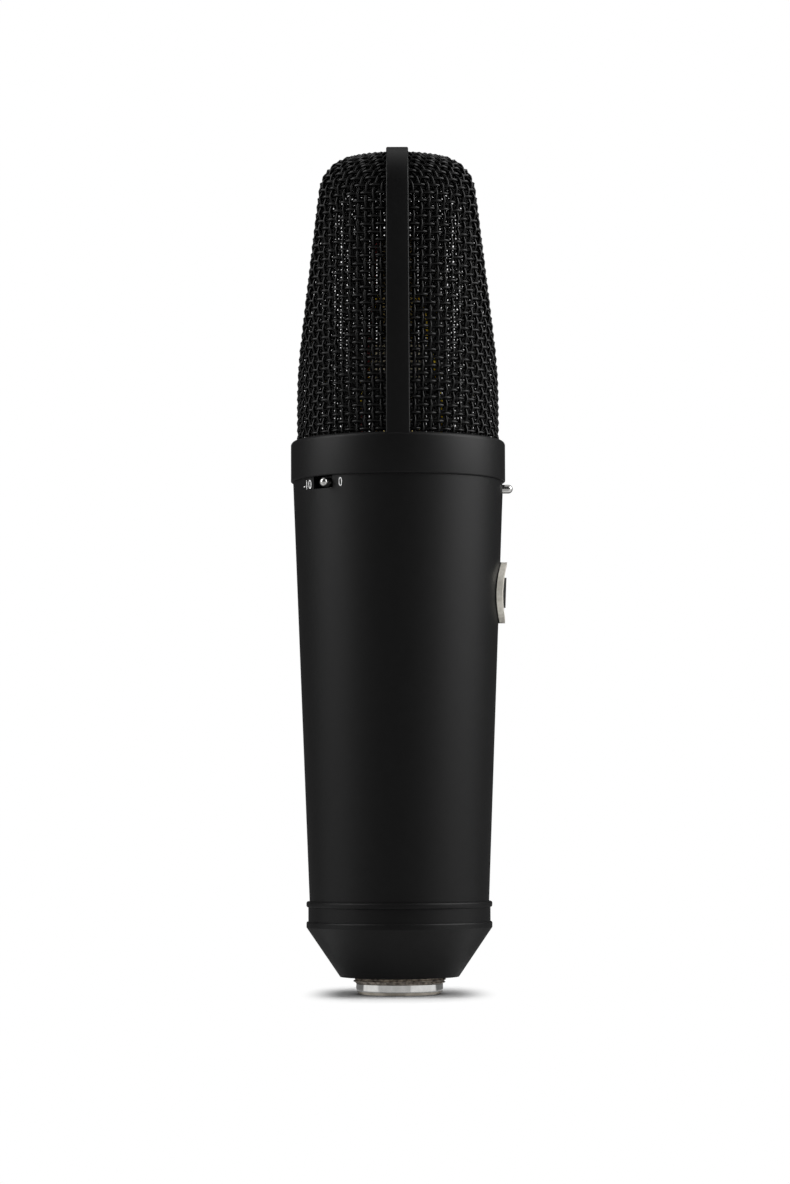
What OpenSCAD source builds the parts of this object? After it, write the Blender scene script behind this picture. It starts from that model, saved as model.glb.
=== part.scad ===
// Side-address condenser microphone. A woven-wire wedge head stands in a collar over a tapered sleeve,
// and a bell base carries a threaded boss with a three-pin connector. Three slide switches sit under the
// collar. The rim of the boss lies on z = 0, the address side faces -Y and all sizes are in millimetres.

/* [Sleeve] */
// Length of the tapered sleeve
sleeve_len = 113.4; // [100:0.2:130]
// Outer diameter of the sleeve at its upper end
sleeve_top_d = 57.1; // [54:0.1:62]
// Outer diameter of the sleeve at its lower end
sleeve_low_d = 48.5; // [46:0.1:52]
// Wall of the sleeve
sleeve_wall = 1.5; // [1:0.1:1.8]

/* [Base bell] */
// Height of the cone under the lower bead
bell_cone_h = 13.3; // [10:0.1:16]
// Diameter of the flat under the cone
bell_foot_d = 32.1; // [30:0.1:36]
// Fillet between the flat and the cone
bell_foot_f = 0.8; // [0.4:0.1:1.2]
// Height of the plain band between the beads
band_h = 3.8; // [2.5:0.1:5]
// How far the band stands out from the sleeve
band_step = 0.35; // [0.2:0.05:0.6]
// Height of each bead
bead_h = 1.6; // [1.2:0.1:2.2]
// How far each bead stands out from the band
bead_rise = 0.5; // [0.3:0.05:0.8]
// Wall of the bell around the base plate
bell_wall = 2.2; // [1.8:0.1:2.8]
// Floor of the bell around the boss
bell_floor = 3; // [2:0.1:4]

/* [Connector] */
// How far the boss stands out of the bell
boss_reach = 4.7; // [3.5:0.1:8]
// Outer diameter of the thread on the boss
thread_d = 25; // [24.4:0.1:26]
// Diameter of the boss's neck above the thread
neck_d = 24.2; // [23.6:0.1:24.4]
// Diameter of the plain pilot below the thread
pilot_d = 23.4; // [22.4:0.1:24.2]
// Length of the pilot
pilot_h = 2.9; // [2:0.1:3.4]
// Width of the bevel at the end of the pilot
bevel_w = 1.1; // [0.5:0.1:1.3]
// Height of the bevel
bevel_h = 0.85; // [0.4:0.05:1.2]
// Bore of the connector socket
socket_d = 19.2; // [18.6:0.1:19.8]
// Depth of the socket from its rim to the insert
socket_depth = 14.5; // [12:0.1:15.5]
// Shoulder that the insert seats on
insert_shoulder = 1; // [0.6:0.1:1.2]
// How far the base plate reaches over the insert
insert_hold = 2.6; // [2:0.1:3]
// Flange of the boss under the base plate
boss_flange_d = 34; // [32:0.2:36]
// Thickness of the flange
boss_flange_t = 2.5; // [2:0.1:3]
// Diameter of the contact pins
pin_d = 2.4; // [2:0.1:2.6]
// Distance of the contact pins from the axis
pin_circle_r = 4.05; // [3.8:0.05:4.4]
// How far the pin tips stay inside the rim
pin_recess = 2.6; // [2:0.1:4]

/* [Collar] */
// Height of the collar
collar_h = 11.1; // [10:0.1:13]
// How far the collar stands out from the sleeve
collar_step = 0.6; // [0.4:0.05:1]
// Fillet at the top edge of the collar
collar_top_f = 1.2; // [0.6:0.1:1.4]
// Fillet at the lower edge of the collar
collar_low_f = 0.4; // [0.2:0.05:0.6]
// Wall of the collar below the mesh seat
collar_wall = 2.8; // [2.6:0.1:3.2]
// Depth of the mesh seat
seat_depth = 3.9; // [3:0.1:5]
// Step from the mesh seat down to the ledge
seat_step = 1.2; // [0.8:0.1:1.6]
// Width of the ledge that the head plate hangs from
ledge_w = 3.7; // [3.4:0.1:4.4]
// Thickness of the ledge
ledge_h = 2.1; // [1.8:0.1:2.6]
// How far the ledge's screws end below its top
ledge_skin = 1; // [0.8:0.1:1.2]

/* [Head] */
// Height of the head from the collar to the top of the strap
head_h = 78.2; // [74:0.1:92]
// Step from the collar's wall to the mesh
mesh_step = 1.6; // [1.5:0.05:2]
// Height above the collar where the wedge begins to lean
lean_start = 9; // [6:0.5:14]
// Lean of the front and rear faces of the wedge in degrees
wedge_lean = 7.3; // [5:0.1:8]
// Radius of the bend into the leaning faces
lean_bend_r = 130; // [80:5:150]
// Radius of the front and rear top edges of the head
top_edge_r = 12; // [10:0.5:13]
// Radius of the upright edges between the flat faces and the round sides
corner_r = 5; // [3:0.5:7]
// Radius of the side shoulders of the head
shoulder_r = 13; // [10:0.5:15]
// Bars around the outer mesh
mesh_cols = 40; // [24:4:40]
// Rows of bars up the outer mesh
mesh_rows = 20; // [14:1:20]
// Width of one mesh bar
mesh_bar_w = 0.9; // [0.6:0.1:1.2]
// Depth of one mesh bar
mesh_bar_t = 0.9; // [0.6:0.1:1.2]
// Rim of the outer mesh at its seat and under the strap
mesh_hem = 1.2; // [0.8:0.1:1.6]
// Room between the outer mesh and the fine mesh
liner_gap = 1.3; // [1:0.1:1.6]
// Bars around the fine mesh
liner_cols = 24; // [16:4:28]
// Rows of bars up the fine mesh
liner_rows = 12; // [8:1:14]
// Width of one bar of the fine mesh
liner_bar_w = 1.8; // [1.2:0.1:2.4]
// Thickness of the fine mesh
liner_t = 0.6; // [0.4:0.05:0.8]
// Width of the strap at the collar
strap_low_w = 6.4; // [5:0.1:8]
// Width of the strap at the top
strap_top_w = 5.9; // [5:0.1:8]
// Thickness of the strap
strap_t = 1; // [0.8:0.05:1.1]

/* [Capsule] */
// Outer diameter of the capsule
capsule_d = 34; // [30:0.5:38]
// Height of the capsule's centre above the collar
capsule_up = 39.5; // [36:0.5:46]
// Thickness of each backplate
backplate_t = 2.6; // [2:0.1:3.2]
// Thickness of the gasket between the backplates
gasket_t = 0.8; // [0.5:0.1:1.2]
// Width of each clamp ring
clamp_ring_w = 3.2; // [2.6:0.1:4]
// Thickness of each clamp ring
clamp_ring_t = 1.4; // [1:0.1:1.8]
// Diameter of the holes in the backplates
backplate_hole_d = 1; // [0.8:0.1:1.2]
// Screws in each clamp ring
clamp_screw_count = 8; // [6:1:12]
// Width of the slots in the clamp rings' screws
screw_slot_w = 0.3; // [0.2:0.05:0.4]
// Thickness of each diaphragm
diaphragm_t = 0.15; // [0.1:0.05:0.3]
// Diameter of the centre terminals
terminal_d = 3.2; // [2.4:0.1:4]
// How far the centre terminals stand out of the clamp rings
terminal_rise = 0.35; // [0.2:0.05:0.5]
// Width of the saddle from front to rear
saddle_w = 13; // [11:0.5:15]
// Length of the saddle across the head
saddle_len = 20; // [16:0.5:26]
// Thickness of the saddle under the capsule
saddle_t = 5.4; // [4:0.2:7]
// Diameter of the insulating post
post_d = 12.4; // [10:0.2:13]
// Height of the brass foot of the post
post_foot_h = 10.7; // [8:0.1:13]
// Diameter of the foot's flange
post_foot_d = 20; // [18:0.5:24]
// Diameter of the capsule leads
lead_d = 1; // [0.8:0.1:1.2]
// How far the front lead stands off its terminal at the head plate
front_lead_reach = 7.4; // [7:0.1:8]
// How far the rear lead stands off its terminal at the head plate
rear_lead_reach = 6.6; // [6.4:0.1:7.2]
// How far the backplate lead stands off the capsule at the head plate
backplate_lead_reach = 5.4; // [5:0.1:6]
// How far the front and rear leads run to the side of the post
lead_aside = 2; // [1:0.1:3]

/* [Switches] */
// Width of each switch slot in the sleeve
slot_w = 7.2; // [6.8:0.1:8]
// Height of each switch slot
slot_h = 3.3; // [3:0.1:4]
// Diameter of the lever pins
lever_d = 2.4; // [2:0.1:2.6]
// How far the levers stand out from the sleeve
lever_reach = 2.7; // [2:0.1:4]
// Travel of a lever to each side of its slot's middle
lever_travel = 2.15; // [1.8:0.05:2.2]
// Room between a switch housing and the inside of the sleeve
housing_room = 1.9; // [1.6:0.1:2.2]
// How far a slider stands above and below its lever
slider_lip = 0.4; // [0.3:0.05:0.5]
// Depth of a switch housing
housing_depth = 5.4; // [5:0.1:6]
// Width of a switch housing
housing_w = 14.4; // [14:0.1:16]
// Wall of a switch housing
housing_wall = 0.9; // [0.7:0.05:1.1]

/* [Badge] */
// Outer diameter of the badge dish
badge_d = 16.6; // [14:0.2:20]
// Height of the badge's centre above the sleeve's lower end
badge_up = 83.3; // [60:0.2:90]
// How far the badge stands out from the sleeve
badge_rise = 1.8; // [1.2:0.1:2.4]
// Width of the badge's rim
badge_rim_w = 0.9; // [0.6:0.1:1.4]
// Thickness of the badge's floor
badge_floor_t = 0.7; // [0.5:0.1:1]
// Diameter of the button in the badge
badge_button_d = 8.2; // [6:0.2:10]
// Diameter of the studs that hold the badge
badge_stud_d = 1.6; // [1.2:0.1:2]

/* [Chassis] */
// Thickness of the base plate inside the bell
base_plate_in = 6; // [5:0.1:7]
// Height of the base plate above the bell
base_plate_up = 2; // [1.5:0.1:3]
// Width of each rail from front to rear
rail_w = 12; // [11:0.2:14]
// Thickness of each rail
rail_t = 4; // [3.4:0.1:5]
// Room between a rail and the sleeve's lower end
rail_room = 2.6; // [2.2:0.1:3.4]
// Step in each rail's sides that carries the switch board
rail_step = 1.6; // [1.2:0.1:2]
// Thickness of the head plate
head_plate_t = 3; // [2.4:0.1:3.4]
// Thickness of the circuit boards
board_t = 1.6; // [1.2:0.1:2]
// Room between the sleeve and the switch board
switch_board_room = 1.2; // [0.8:0.1:1.6]
// Room between the transformer and the boards
board_up = 4; // [3:0.2:6]
// Room between the boards and the switch board
board_room = 3; // [2:0.2:4]
// How far the boards stay inside the rails' outer faces
board_edge = 0.5; // [0.3:0.1:1]
// Distance of the board screws from the ends of the boards
board_screw_in = 4; // [3.4:0.2:6]
// Diameter of the wire holes in the head plate
wire_hole_d = 3; // [2:0.2:4]
// Height of the transformer core
core_h = 25; // [20:0.5:28]
// Depth of the transformer core from front to rear
core_d = 16; // [12:0.5:18]
// Width of each core window
window_w = 5; // [4:0.2:6]
// Thickness of the core around its windows
core_leg = 4.6; // [4:0.2:5]
// How far the winding stands out of the core
winding_bulge = 4; // [2:0.2:5]
// Thickness of the transformer bracket
bracket_t = 0.8; // [0.5:0.1:1]

/* [Board parts] */
// Width of a film capacitor
film_w = 7.5; // [6:0.1:8]
// Depth of a film capacitor out from the board
film_out = 8; // [6:0.2:9]
// Height of the smallest film capacitor
film_h = 12; // [9:0.5:14]
// Diameter of an electrolytic capacitor
can_d = 8; // [6:0.2:9]
// Length of an electrolytic capacitor out from the board
can_out = 10; // [8:0.2:10.6]
// Room between neighbouring capacitors
part_gap = 1.5; // [1:0.1:2]
// Diameter of a transistor
transistor_d = 5.4; // [4.4:0.2:6]
// Length of a transistor out from the board
transistor_out = 5; // [4:0.2:6]
// Distance between the transistors' axes
transistor_step = 12; // [8:0.5:16]
// Diameter of the ring coil along the middle of its winding
coil_d = 12; // [10:0.5:14]
// Thickness of the ring coil
coil_t = 5.2; // [4:0.2:6]

/* [Fits] */
// Room around pieces that slide or slip over each other
slip = 0.1; // [0.05:0.01:0.15]
// Room around the switch sliders
slider_room = 0.15; // [0.1:0.01:0.2]
// Diameter of the screw shanks
screw_d = 2; // [1.6:0.1:2.2]
// Diameter of the screw heads
screw_head_d = 3.8; // [3.2:0.1:4.2]
// Height of the screw heads
screw_head_h = 1.3; // [1:0.1:1.6]
// How far a screw bites into the piece it holds
screw_bite = 4; // [3:0.1:5]
// Room past the end of a screw
screw_end = 0.5; // [0.3:0.05:0.6]

/* [Hidden] */
$fn = 96;
// Overlap of cutting shapes past the faces that they cut
cut = 1;

// Heights
z_bell = boss_reach;
z_bead = z_bell + bell_cone_h;
z_band = z_bead + bead_h;
z_upper_bead = z_band + band_h;
z_sleeve = z_upper_bead + bead_h;
z_collar = z_sleeve + sleeve_len;
z_head = z_collar + collar_h;
z_top = z_head + head_h;
z_plate = z_sleeve - base_plate_in;
z_chassis = z_sleeve + base_plate_up;
z_seat = z_head - seat_depth;
z_ledge_top = z_seat - seat_step;
z_ledge = z_ledge_top - ledge_h;
z_head_plate = z_ledge - head_plate_t;
z_lever = z_collar - slot_h / 2 - slip * 2;
z_badge = z_sleeve + badge_up;

// Radii of the shells
sleeve_top_r = sleeve_top_d / 2;
sleeve_low_r = sleeve_low_d / 2;
sleeve_in_r = sleeve_low_r - sleeve_wall;
band_r = sleeve_low_r + band_step;
bead_r = band_r + bead_rise;
bell_bore_r = band_r - bell_wall;
bell_foot_r = bell_foot_d / 2;
cone_slope = (bead_r - bell_foot_r) / bell_cone_h;
collar_r = sleeve_top_r + collar_step;
collar_bore_r = collar_r - collar_wall;
ledge_r = collar_bore_r - ledge_w;
head_plate_r = collar_bore_r - slip;
mesh_r = collar_r - mesh_step;
strap_room = slip / 2;
strap_r = mesh_r + strap_room + strap_t;

// Outer radius of the sleeve at a height
function sleeve_r(z) = sleeve_low_r + (sleeve_top_r - sleeve_low_r) * (z - z_sleeve) / sleeve_len;

// Outline of the wedge, seen from the side: a wall, a bend, a leaning face, a top edge and a flat top.
// The outline is measured along its length, from the mesh's seat.
z_mesh_top = z_top - strap_t - strap_room;
z_lean = z_head + lean_start;
z_edge = z_mesh_top - top_edge_r;
z_shoulder = z_mesh_top - shoulder_r;
bend_end = [mesh_r - lean_bend_r * (1 - cos(wedge_lean)), z_lean + lean_bend_r * sin(wedge_lean)];
face_way = [cos(wedge_lean), sin(wedge_lean)];
edge_y = (bend_end * face_way - top_edge_r - z_edge * sin(wedge_lean)) / cos(wedge_lean);
edge_start = [edge_y, z_edge] + top_edge_r * face_way;
wall_end_s = z_lean - z_seat;
bend_end_s = wall_end_s + lean_bend_r * wedge_lean * PI / 180;
face_end_s = bend_end_s + norm(edge_start - bend_end);
edge_end_s = face_end_s + top_edge_r * (90 - wedge_lean) * PI / 180;
outline_s = edge_end_s + edge_y - strap_top_w / 2 + mesh_hem;
shoulder_y = (bend_end * face_way - z_shoulder * sin(wedge_lean)) / cos(wedge_lean);

// Point [y, z, lean] of the wedge's outline at length s, where lean is the way its face points
function outline_point(s) =
  s < wall_end_s ? [mesh_r, z_seat + s, 0]
  : s < bend_end_s ? bend_point((s - wall_end_s) / lean_bend_r * 180 / PI)
  : s < face_end_s ? face_point(s - bend_end_s)
  : s < edge_end_s ? edge_point(wedge_lean + (s - face_end_s) / top_edge_r * 180 / PI)
  : [edge_y - (s - edge_end_s), z_mesh_top, 90];
function bend_point(a) = [mesh_r - lean_bend_r * (1 - cos(a)), z_lean + lean_bend_r * sin(a), a];
function face_point(s) = [bend_end[0] - s * sin(wedge_lean), bend_end[1] + s * cos(wedge_lean), wedge_lean];
function edge_point(a) = [edge_y + top_edge_r * cos(a), z_edge + top_edge_r * sin(a), a];

// Half width of the head across X at a height, for a skin that lies inset inside the mesh
function half_width(z, inset) =
  z < z_shoulder ? mesh_r - inset
  : mesh_r - shoulder_r + sqrt(max(0, pow(shoulder_r - inset, 2) - pow(z - z_shoulder, 2)));

// Point of a unit circle with flats at +-level and corners of a radius, at step turn of 4 around it.
// The points are evenly spaced along each quarter of its edge.
function flatted(turn, level, corner) =
  let (q = floor(turn), f = turn - q, along = q % 2 == 0 ? f : 1 - f)
  let (a = asin((level - corner) / (1 - corner)), x = (1 - corner) * cos(a))
  let (arc = a * PI / 180, bend = corner * (90 - a) * PI / 180, s = along * (arc + bend + x))
  let (b = a + (s - arc) / corner * 180 / PI)
  let (p = s < arc ? [cos(s * 180 / PI), sin(s * 180 / PI)]
    : s < arc + bend ? [x + corner * cos(b), level - corner + corner * sin(b)]
    : [x - (s - arc - bend), level])
  [(q == 0 || q == 3 ? 1 : -1) * p[0], (q < 2 ? 1 : -1) * p[1]];

// Point on the head's skin: step of count around it, at length s up its outline, inset from the outside
function head_point(step, count, s, inset) =
  let (o = outline_point(s), y = o[0] - inset * cos(o[2]), z = o[1] - inset * sin(o[2]))
  let (narrow = s > edge_end_s ? 0.6 + 0.4 * o[0] / edge_y : 1)
  let (level = min(1, (o[1] < z_shoulder ? y : shoulder_y - inset) / (mesh_r - inset)))
  let (corner = (corner_r - inset) / (mesh_r - inset))
  let (p = flatted((step + count) % count * 4 / count, level, corner))
  [narrow * half_width(z, inset) * p[0], y / level * p[1], z];

// Lattice on the head's skin, from one length of its outline to another and from one inset to another.
// Its bars are ridged outwards and flat inside, and both of its ends have a solid hem. A grid is
// [columns, rows].
function lattice_points(grid, low, high, hem_w, bar_w, out, in) =
  let (cols = grid[0], rows = grid[1], row_step = (high - low - 2 * hem_w) / (rows - 1))
  let (half = bar_w / 2, half_turn = half / (2 * PI * mesh_r) * cols)
  concat(
    [for (row = [0:rows - 1]) for (col = [0:cols - 1])
      head_point(col, cols, low + hem_w + row * row_step, out)],
    [for (row = [0:rows - 1]) for (col = [0:cols - 1]) for (v = [-1, 1]) for (u = [-1, 1])
      head_point(col + u * half_turn, cols, low + hem_w + row * row_step + v * half, in)],
    [for (s = [low, high]) for (inset = [out, in]) for (col = [0:cols - 1]) head_point(col, cols, s, inset)]
  );
function ridge(grid, col, row) = row * grid[0] + col % grid[0];
function foot(grid, col, row, u, v) = grid[0] * grid[1] + 4 * ridge(grid, col, row) + u + 2 * v;
function hem(grid, col, end, inside) = 5 * grid[0] * grid[1] + (2 * end + inside) * grid[0] + col % grid[0];
function gap_faces(grid) = [
  for (row = [0:grid[1] - 2]) for (col = [0:grid[0] - 1])
    let (a = ridge(grid, col, row), b = ridge(grid, col + 1, row))
    let (c = ridge(grid, col + 1, row + 1), d = ridge(grid, col, row + 1))
    let (e = foot(grid, col, row, 1, 1), f = foot(grid, col + 1, row, 0, 1))
    let (g = foot(grid, col + 1, row + 1, 0, 0), h = foot(grid, col, row + 1, 1, 0))
    each [[a, e, f, b], [b, f, g, c], [c, g, h, d], [d, h, e, a]]
];
function crossing_faces(grid) = [
  for (row = [0:grid[1] - 1]) for (col = [0:grid[0] - 1])
    [for (uv = [[0, 0], [1, 0], [1, 1], [0, 1]]) foot(grid, col, row, uv[0], uv[1])]
];
function hoop_faces(grid) = [
  for (row = [0:grid[1] - 1]) for (col = [0:grid[0] - 1])
    let (a = foot(grid, col, row, 1, 0), b = foot(grid, col + 1, row, 0, 0))
    let (c = foot(grid, col + 1, row, 0, 1), d = foot(grid, col, row, 1, 1))
    [a, b, c, d]
];
function upright_faces(grid) = [
  for (row = [0:grid[1] - 2]) for (col = [0:grid[0] - 1])
    let (a = foot(grid, col, row, 0, 1), b = foot(grid, col, row, 1, 1))
    let (c = foot(grid, col, row + 1, 1, 0), d = foot(grid, col, row + 1, 0, 0))
    [a, b, c, d]
];
function low_hem_faces(grid) = [
  for (col = [0:grid[0] - 1])
    let (a = hem(grid, col, 0, 0), b = hem(grid, col + 1, 0, 0))
    let (c = hem(grid, col + 1, 0, 1), d = hem(grid, col, 0, 1), e = foot(grid, col, 0, 1, 0))
    each [
      [a, ridge(grid, col, 0), ridge(grid, col + 1, 0), b],
      [a, b, c, d],
      [e, foot(grid, col, 0, 0, 0), d],
      [d, c, foot(grid, col + 1, 0, 0, 0), e]
    ]
];
function top_hem_faces(grid) = [
  for (col = [0:grid[0] - 1])
    let (a = hem(grid, col, 1, 0), b = hem(grid, col + 1, 1, 0), last = grid[1] - 1)
    let (c = hem(grid, col + 1, 1, 1), d = hem(grid, col, 1, 1), e = foot(grid, col, last, 1, 1))
    each [
      [ridge(grid, col, last), a, b, ridge(grid, col + 1, last)],
      [b, a, d, c],
      [foot(grid, col, last, 0, 1), e, d],
      [e, foot(grid, col + 1, last, 0, 1), c, d]
    ]
];
function lattice_faces(grid) =
  concat(
    gap_faces(grid), crossing_faces(grid), hoop_faces(grid),
    upright_faces(grid), low_hem_faces(grid), top_hem_faces(grid)
  );
mesh_grid = [mesh_cols, mesh_rows];
liner_grid = [liner_cols, liner_rows];
liner_inset = mesh_bar_t + liner_gap;
liner_low_s = z_ledge_top - z_seat;

// Capsule and its carrier
z_capsule = z_head + capsule_up;
capsule_r = capsule_d / 2;
backplate_y = gasket_t / 2 + backplate_t;
capsule_y = backplate_y + clamp_ring_t;
terminal_y = capsule_y + terminal_rise;
z_saddle = z_capsule - capsule_r - saddle_t;
z_post = z_ledge + post_foot_h;

// Capsule leads: smooth tubes from the terminals and the backplate down to the head plate
lead_sides = 6;
function knot(p, i) = p[max(0, min(len(p) - 1, i))];
function spline(p, i, t) =
  let (a = knot(p, i - 1), b = knot(p, i), c = knot(p, i + 1), d = knot(p, i + 2))
  b + t / 2 * (c - a) + t * t / 2 * (2 * a - 5 * b + 4 * c - d) + t * t * t / 2 * (3 * b - a - 3 * c + d);
function lead_path(p) = concat([for (i = [0:len(p) - 2]) for (t = [0, 0.5]) spline(p, i, t)], [p[len(p) - 1]]);
function lead_way(p, path, i) =
  i == 0 ? p[1] - p[0]
  : i == len(path) - 1 ? p[len(p) - 1] - p[len(p) - 2]
  : path[i + 1] - path[i - 1];
function unit(v) = v / norm(v);
function lead_ring(centre, way) =
  let (side = unit(cross(way, [1, 0, 0])), rise = unit(cross(side, way)))
  [for (k = [0:lead_sides - 1])
    centre + lead_d / 2 * (cos(k * 360 / lead_sides) * side + sin(k * 360 / lead_sides) * rise)];
// Shares of the way aside, of the reach and of the capsule's radius at each knot of a lead
front_lead_shares = [
  [0, 0, 0], [0, 0.16, 0], [0.3, 0.35, -0.235], [0.6, 0.486, -0.647], [0.8, 0.73, -1.118], [1, 0.973, -1.765]
];
rear_lead_shares = [
  [0, 0, 0], [0, 0.15, 0], [0.3, 0.3, -0.235], [0.6, 0.364, -0.647], [0.8, 0.455, -1.118], [1, 0.848, -1.765]
];
backplate_lead_shares = [
  [1, 0, 0.78], [1, 0.185, 0.78], [1, 0.333, 0.45], [1, 0.407, -0.118], [1, 0.63, -1], [1, 0.889, -1.706]
];
backplate_lead_x = -capsule_r / 2;
function lead_knots(shares, aside, start_y, reach) =
  concat(
    [for (k = shares) [k[0] * aside, start_y + k[1] * reach, z_capsule + k[2] * capsule_r]],
    [for (up = [4 * lead_d, 0]) [aside, start_y + reach, z_ledge + up]]
  );
front_lead_knots = lead_knots(front_lead_shares, lead_aside, -terminal_y, -front_lead_reach);
rear_lead_knots = lead_knots(rear_lead_shares, lead_aside, terminal_y, rear_lead_reach);
backplate_lead_knots = lead_knots(backplate_lead_shares, backplate_lead_x, capsule_y, backplate_lead_reach);

// Chassis, from the inner faces of the rails outwards
rail_out_x = sleeve_in_r - rail_room;
rail_in_x = rail_out_x - rail_t;
rail_x = rail_out_x - rail_t / 2;
rail_half = rail_w / 2;
board_y = rail_half + board_t;
plate_hole_r = socket_d / 2 + insert_shoulder - insert_hold;
screw_hole_r = screw_d / 2 + slip / 2;

// Switches, in a frame whose x runs outwards and whose y runs along the slot
lever_r = lever_d / 2;
lever_tip_r = sleeve_r(z_lever) + lever_reach;
housing_out_r = sleeve_r(z_lever) - sleeve_wall - housing_room;
housing_in_r = housing_out_r - housing_depth;
cavity_half_h = lever_r + slider_lip;
z_housing = z_lever - cavity_half_h - 2 * housing_wall;
housing_h = 2 * cavity_half_h + 3 * housing_wall;
window_half_w = lever_travel + lever_r + slider_room;
slider_half_w = housing_w / 2 - housing_wall - lever_travel - slider_room;
z_switch_board = z_housing - board_t;
pattern_turn = -90;
pad_turn = 135;
low_cut_turn = 45;

// Boards and transformer
z_core_top = z_chassis + core_h + bracket_t;
z_board = z_core_top + board_up;
board_h = z_switch_board - board_room - z_board;
board_w = 2 * (rail_out_x - board_edge);
board_screw_z = [z_board + board_screw_in, z_board + board_h - board_screw_in];
core_half_w = rail_in_x - bracket_t - 2 * slip;
middle_leg = 2 * (core_half_w - core_leg - window_w);

boss_screw_r = (thread_d / 2 + boss_flange_d / 2) / 2;
head_screw_r = (collar_bore_r + ledge_r) / 2;
head_screw_turns = [0, 90, 180];

// Cutter that leaves a fillet at the upper outer corner [r, z] of a turned profile
module upper_fillet(r, z, f) {
  translate([r - f, z - f])
    difference() {
      square(f + cut);
      circle(f);
    }
}

// Cutter that leaves a fillet at the lower outer corner [r, z] of a turned profile
module lower_fillet(r, z, f) {
  translate([r - f, z + f])
    mirror([0, 1])
      difference() {
        square(f + cut);
        circle(f);
      }
}

// Turned block between two radii and two heights
module turned(r0, r1, z0, z1) {
  translate([r0, z0])
    square([r1 - r0, z1 - z0]);
}

// Screw that points along +z, with the underside of its head on z = 0
module screw(length) {
  translate([0, 0, -screw_head_h])
    cylinder(h = screw_head_h, d = screw_head_d);
  cylinder(h = length, d = screw_d);
}

// Hole for a screw of that length, with room past its end
module screw_hole(length) {
  translate([0, 0, -cut])
    cylinder(h = length + cut + screw_end, r = screw_hole_r);
}

// Solid cone that follows the outside of the sleeve at a distance
module sleeve_cone(out) {
  translate([0, 0, z_sleeve])
    cylinder(h = sleeve_len, r1 = sleeve_low_r + out, r2 = sleeve_top_r + out);
}

// Tapered tube with switch slots open to its upper edge and holes for the badge studs
module sleeve() {
  color("#1d1d1f")
    difference() {
      sleeve_cone(0);
      translate([0, 0, z_sleeve - cut])
        cylinder(
          h = sleeve_len + 2 * cut,
          r1 = sleeve_r(z_sleeve - cut) - sleeve_wall,
          r2 = sleeve_r(z_collar + cut) - sleeve_wall
        );
      for (turn = [pattern_turn, pad_turn, low_cut_turn])
        rotate([0, 0, turn])
          translate([housing_out_r, -slot_w / 2, z_collar - slot_h])
            cube([lever_tip_r, slot_w, slot_h + cut]);
      badge_studs(badge_stud_d / 2 + slip / 2, sleeve_top_r);
    }
}

// Two round bars through the sleeve, one above the other, where the badge is held
module badge_studs(r, length) {
  rotate([0, 0, pattern_turn])
    for (side = [-1, 1])
      translate([sleeve_r(z_badge) - 2 * sleeve_wall, 0, z_badge + side * badge_d / 4])
        rotate([0, 90, 0])
          cylinder(h = length, r = r);
}

// Round bar along the badge's axis
module badge_bar(r) {
  rotate([0, 0, pattern_turn])
    translate([0, 0, z_badge])
      rotate([0, 90, 0])
        cylinder(h = 2 * sleeve_top_r, r = r);
}

// Dished badge that follows the sleeve's curve, with two studs through the wall
module badge_dish() {
  color("#b9b9bb") {
    difference() {
      intersection() {
        sleeve_cone(badge_rise);
        badge_bar(badge_d / 2);
      }
      sleeve_cone(0);
      difference() {
        badge_bar(badge_d / 2 - badge_rim_w);
        sleeve_cone(badge_floor_t);
      }
    }
    intersection() {
      badge_studs(badge_stud_d / 2, sleeve_top_r);
      sleeve_cone(badge_floor_t / 2);
    }
  }
}

// Plain dark button in the middle of the badge
module badge_button() {
  color("#0f0f10")
    difference() {
      intersection() {
        sleeve_cone(badge_rise);
        badge_bar(badge_button_d / 2);
      }
      sleeve_cone(badge_floor_t);
    }
}

// Bell: cone, bead, band and bead, hollow above its floor, with a round mouth for the boss
module base_bell() {
  color("#1d1d1f")
    rotate_extrude()
      difference() {
        union() {
          polygon([[0, z_bell], [bell_foot_r, z_bell], [bead_r, z_bead], [0, z_bead]]);
          difference() {
            turned(0, bead_r, z_bead, z_band);
            upper_fillet(bead_r, z_band, bead_rise);
          }
          turned(0, band_r, z_band, z_upper_bead);
          difference() {
            turned(0, bead_r, z_upper_bead, z_sleeve);
            upper_fillet(bead_r, z_sleeve, bead_rise);
            lower_fillet(bead_r, z_upper_bead, bead_rise);
          }
        }
        polygon([
          [0, z_bell + bell_floor],
          [bell_foot_r + cone_slope * bell_floor - bell_wall * norm([1, cone_slope]), z_bell + bell_floor],
          [bell_bore_r, z_bead],
          [bell_bore_r, z_sleeve + cut],
          [0, z_sleeve + cut]
        ]);
        turned(0, thread_d / 2 + slip, z_bell - cut, z_bell + bell_floor + cut);
      }
}

// Boss: bevelled pilot, threaded length, neck and flange, bored as the connector's socket
module threaded_boss() {
  color("#c4c2bd")
    difference() {
      rotate_extrude()
        difference() {
          union() {
            polygon([
              [0, 0],
              [pilot_d / 2 - bevel_w, 0],
              [pilot_d / 2, bevel_h],
              [pilot_d / 2, pilot_h],
              [thread_d / 2, pilot_h],
              [thread_d / 2, z_bell],
              [neck_d / 2, z_bell],
              [neck_d / 2, z_plate],
              [0, z_plate]
            ]);
            turned(0, boss_flange_d / 2, z_plate - boss_flange_t, z_plate);
          }
          turned(0, socket_d / 2, -cut, socket_depth);
          turned(0, socket_d / 2 + insert_shoulder + slip / 2, socket_depth, z_plate + cut);
        }
      boss_screw_places()
        screw_hole(boss_flange_t + cut);
    }
}

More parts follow.
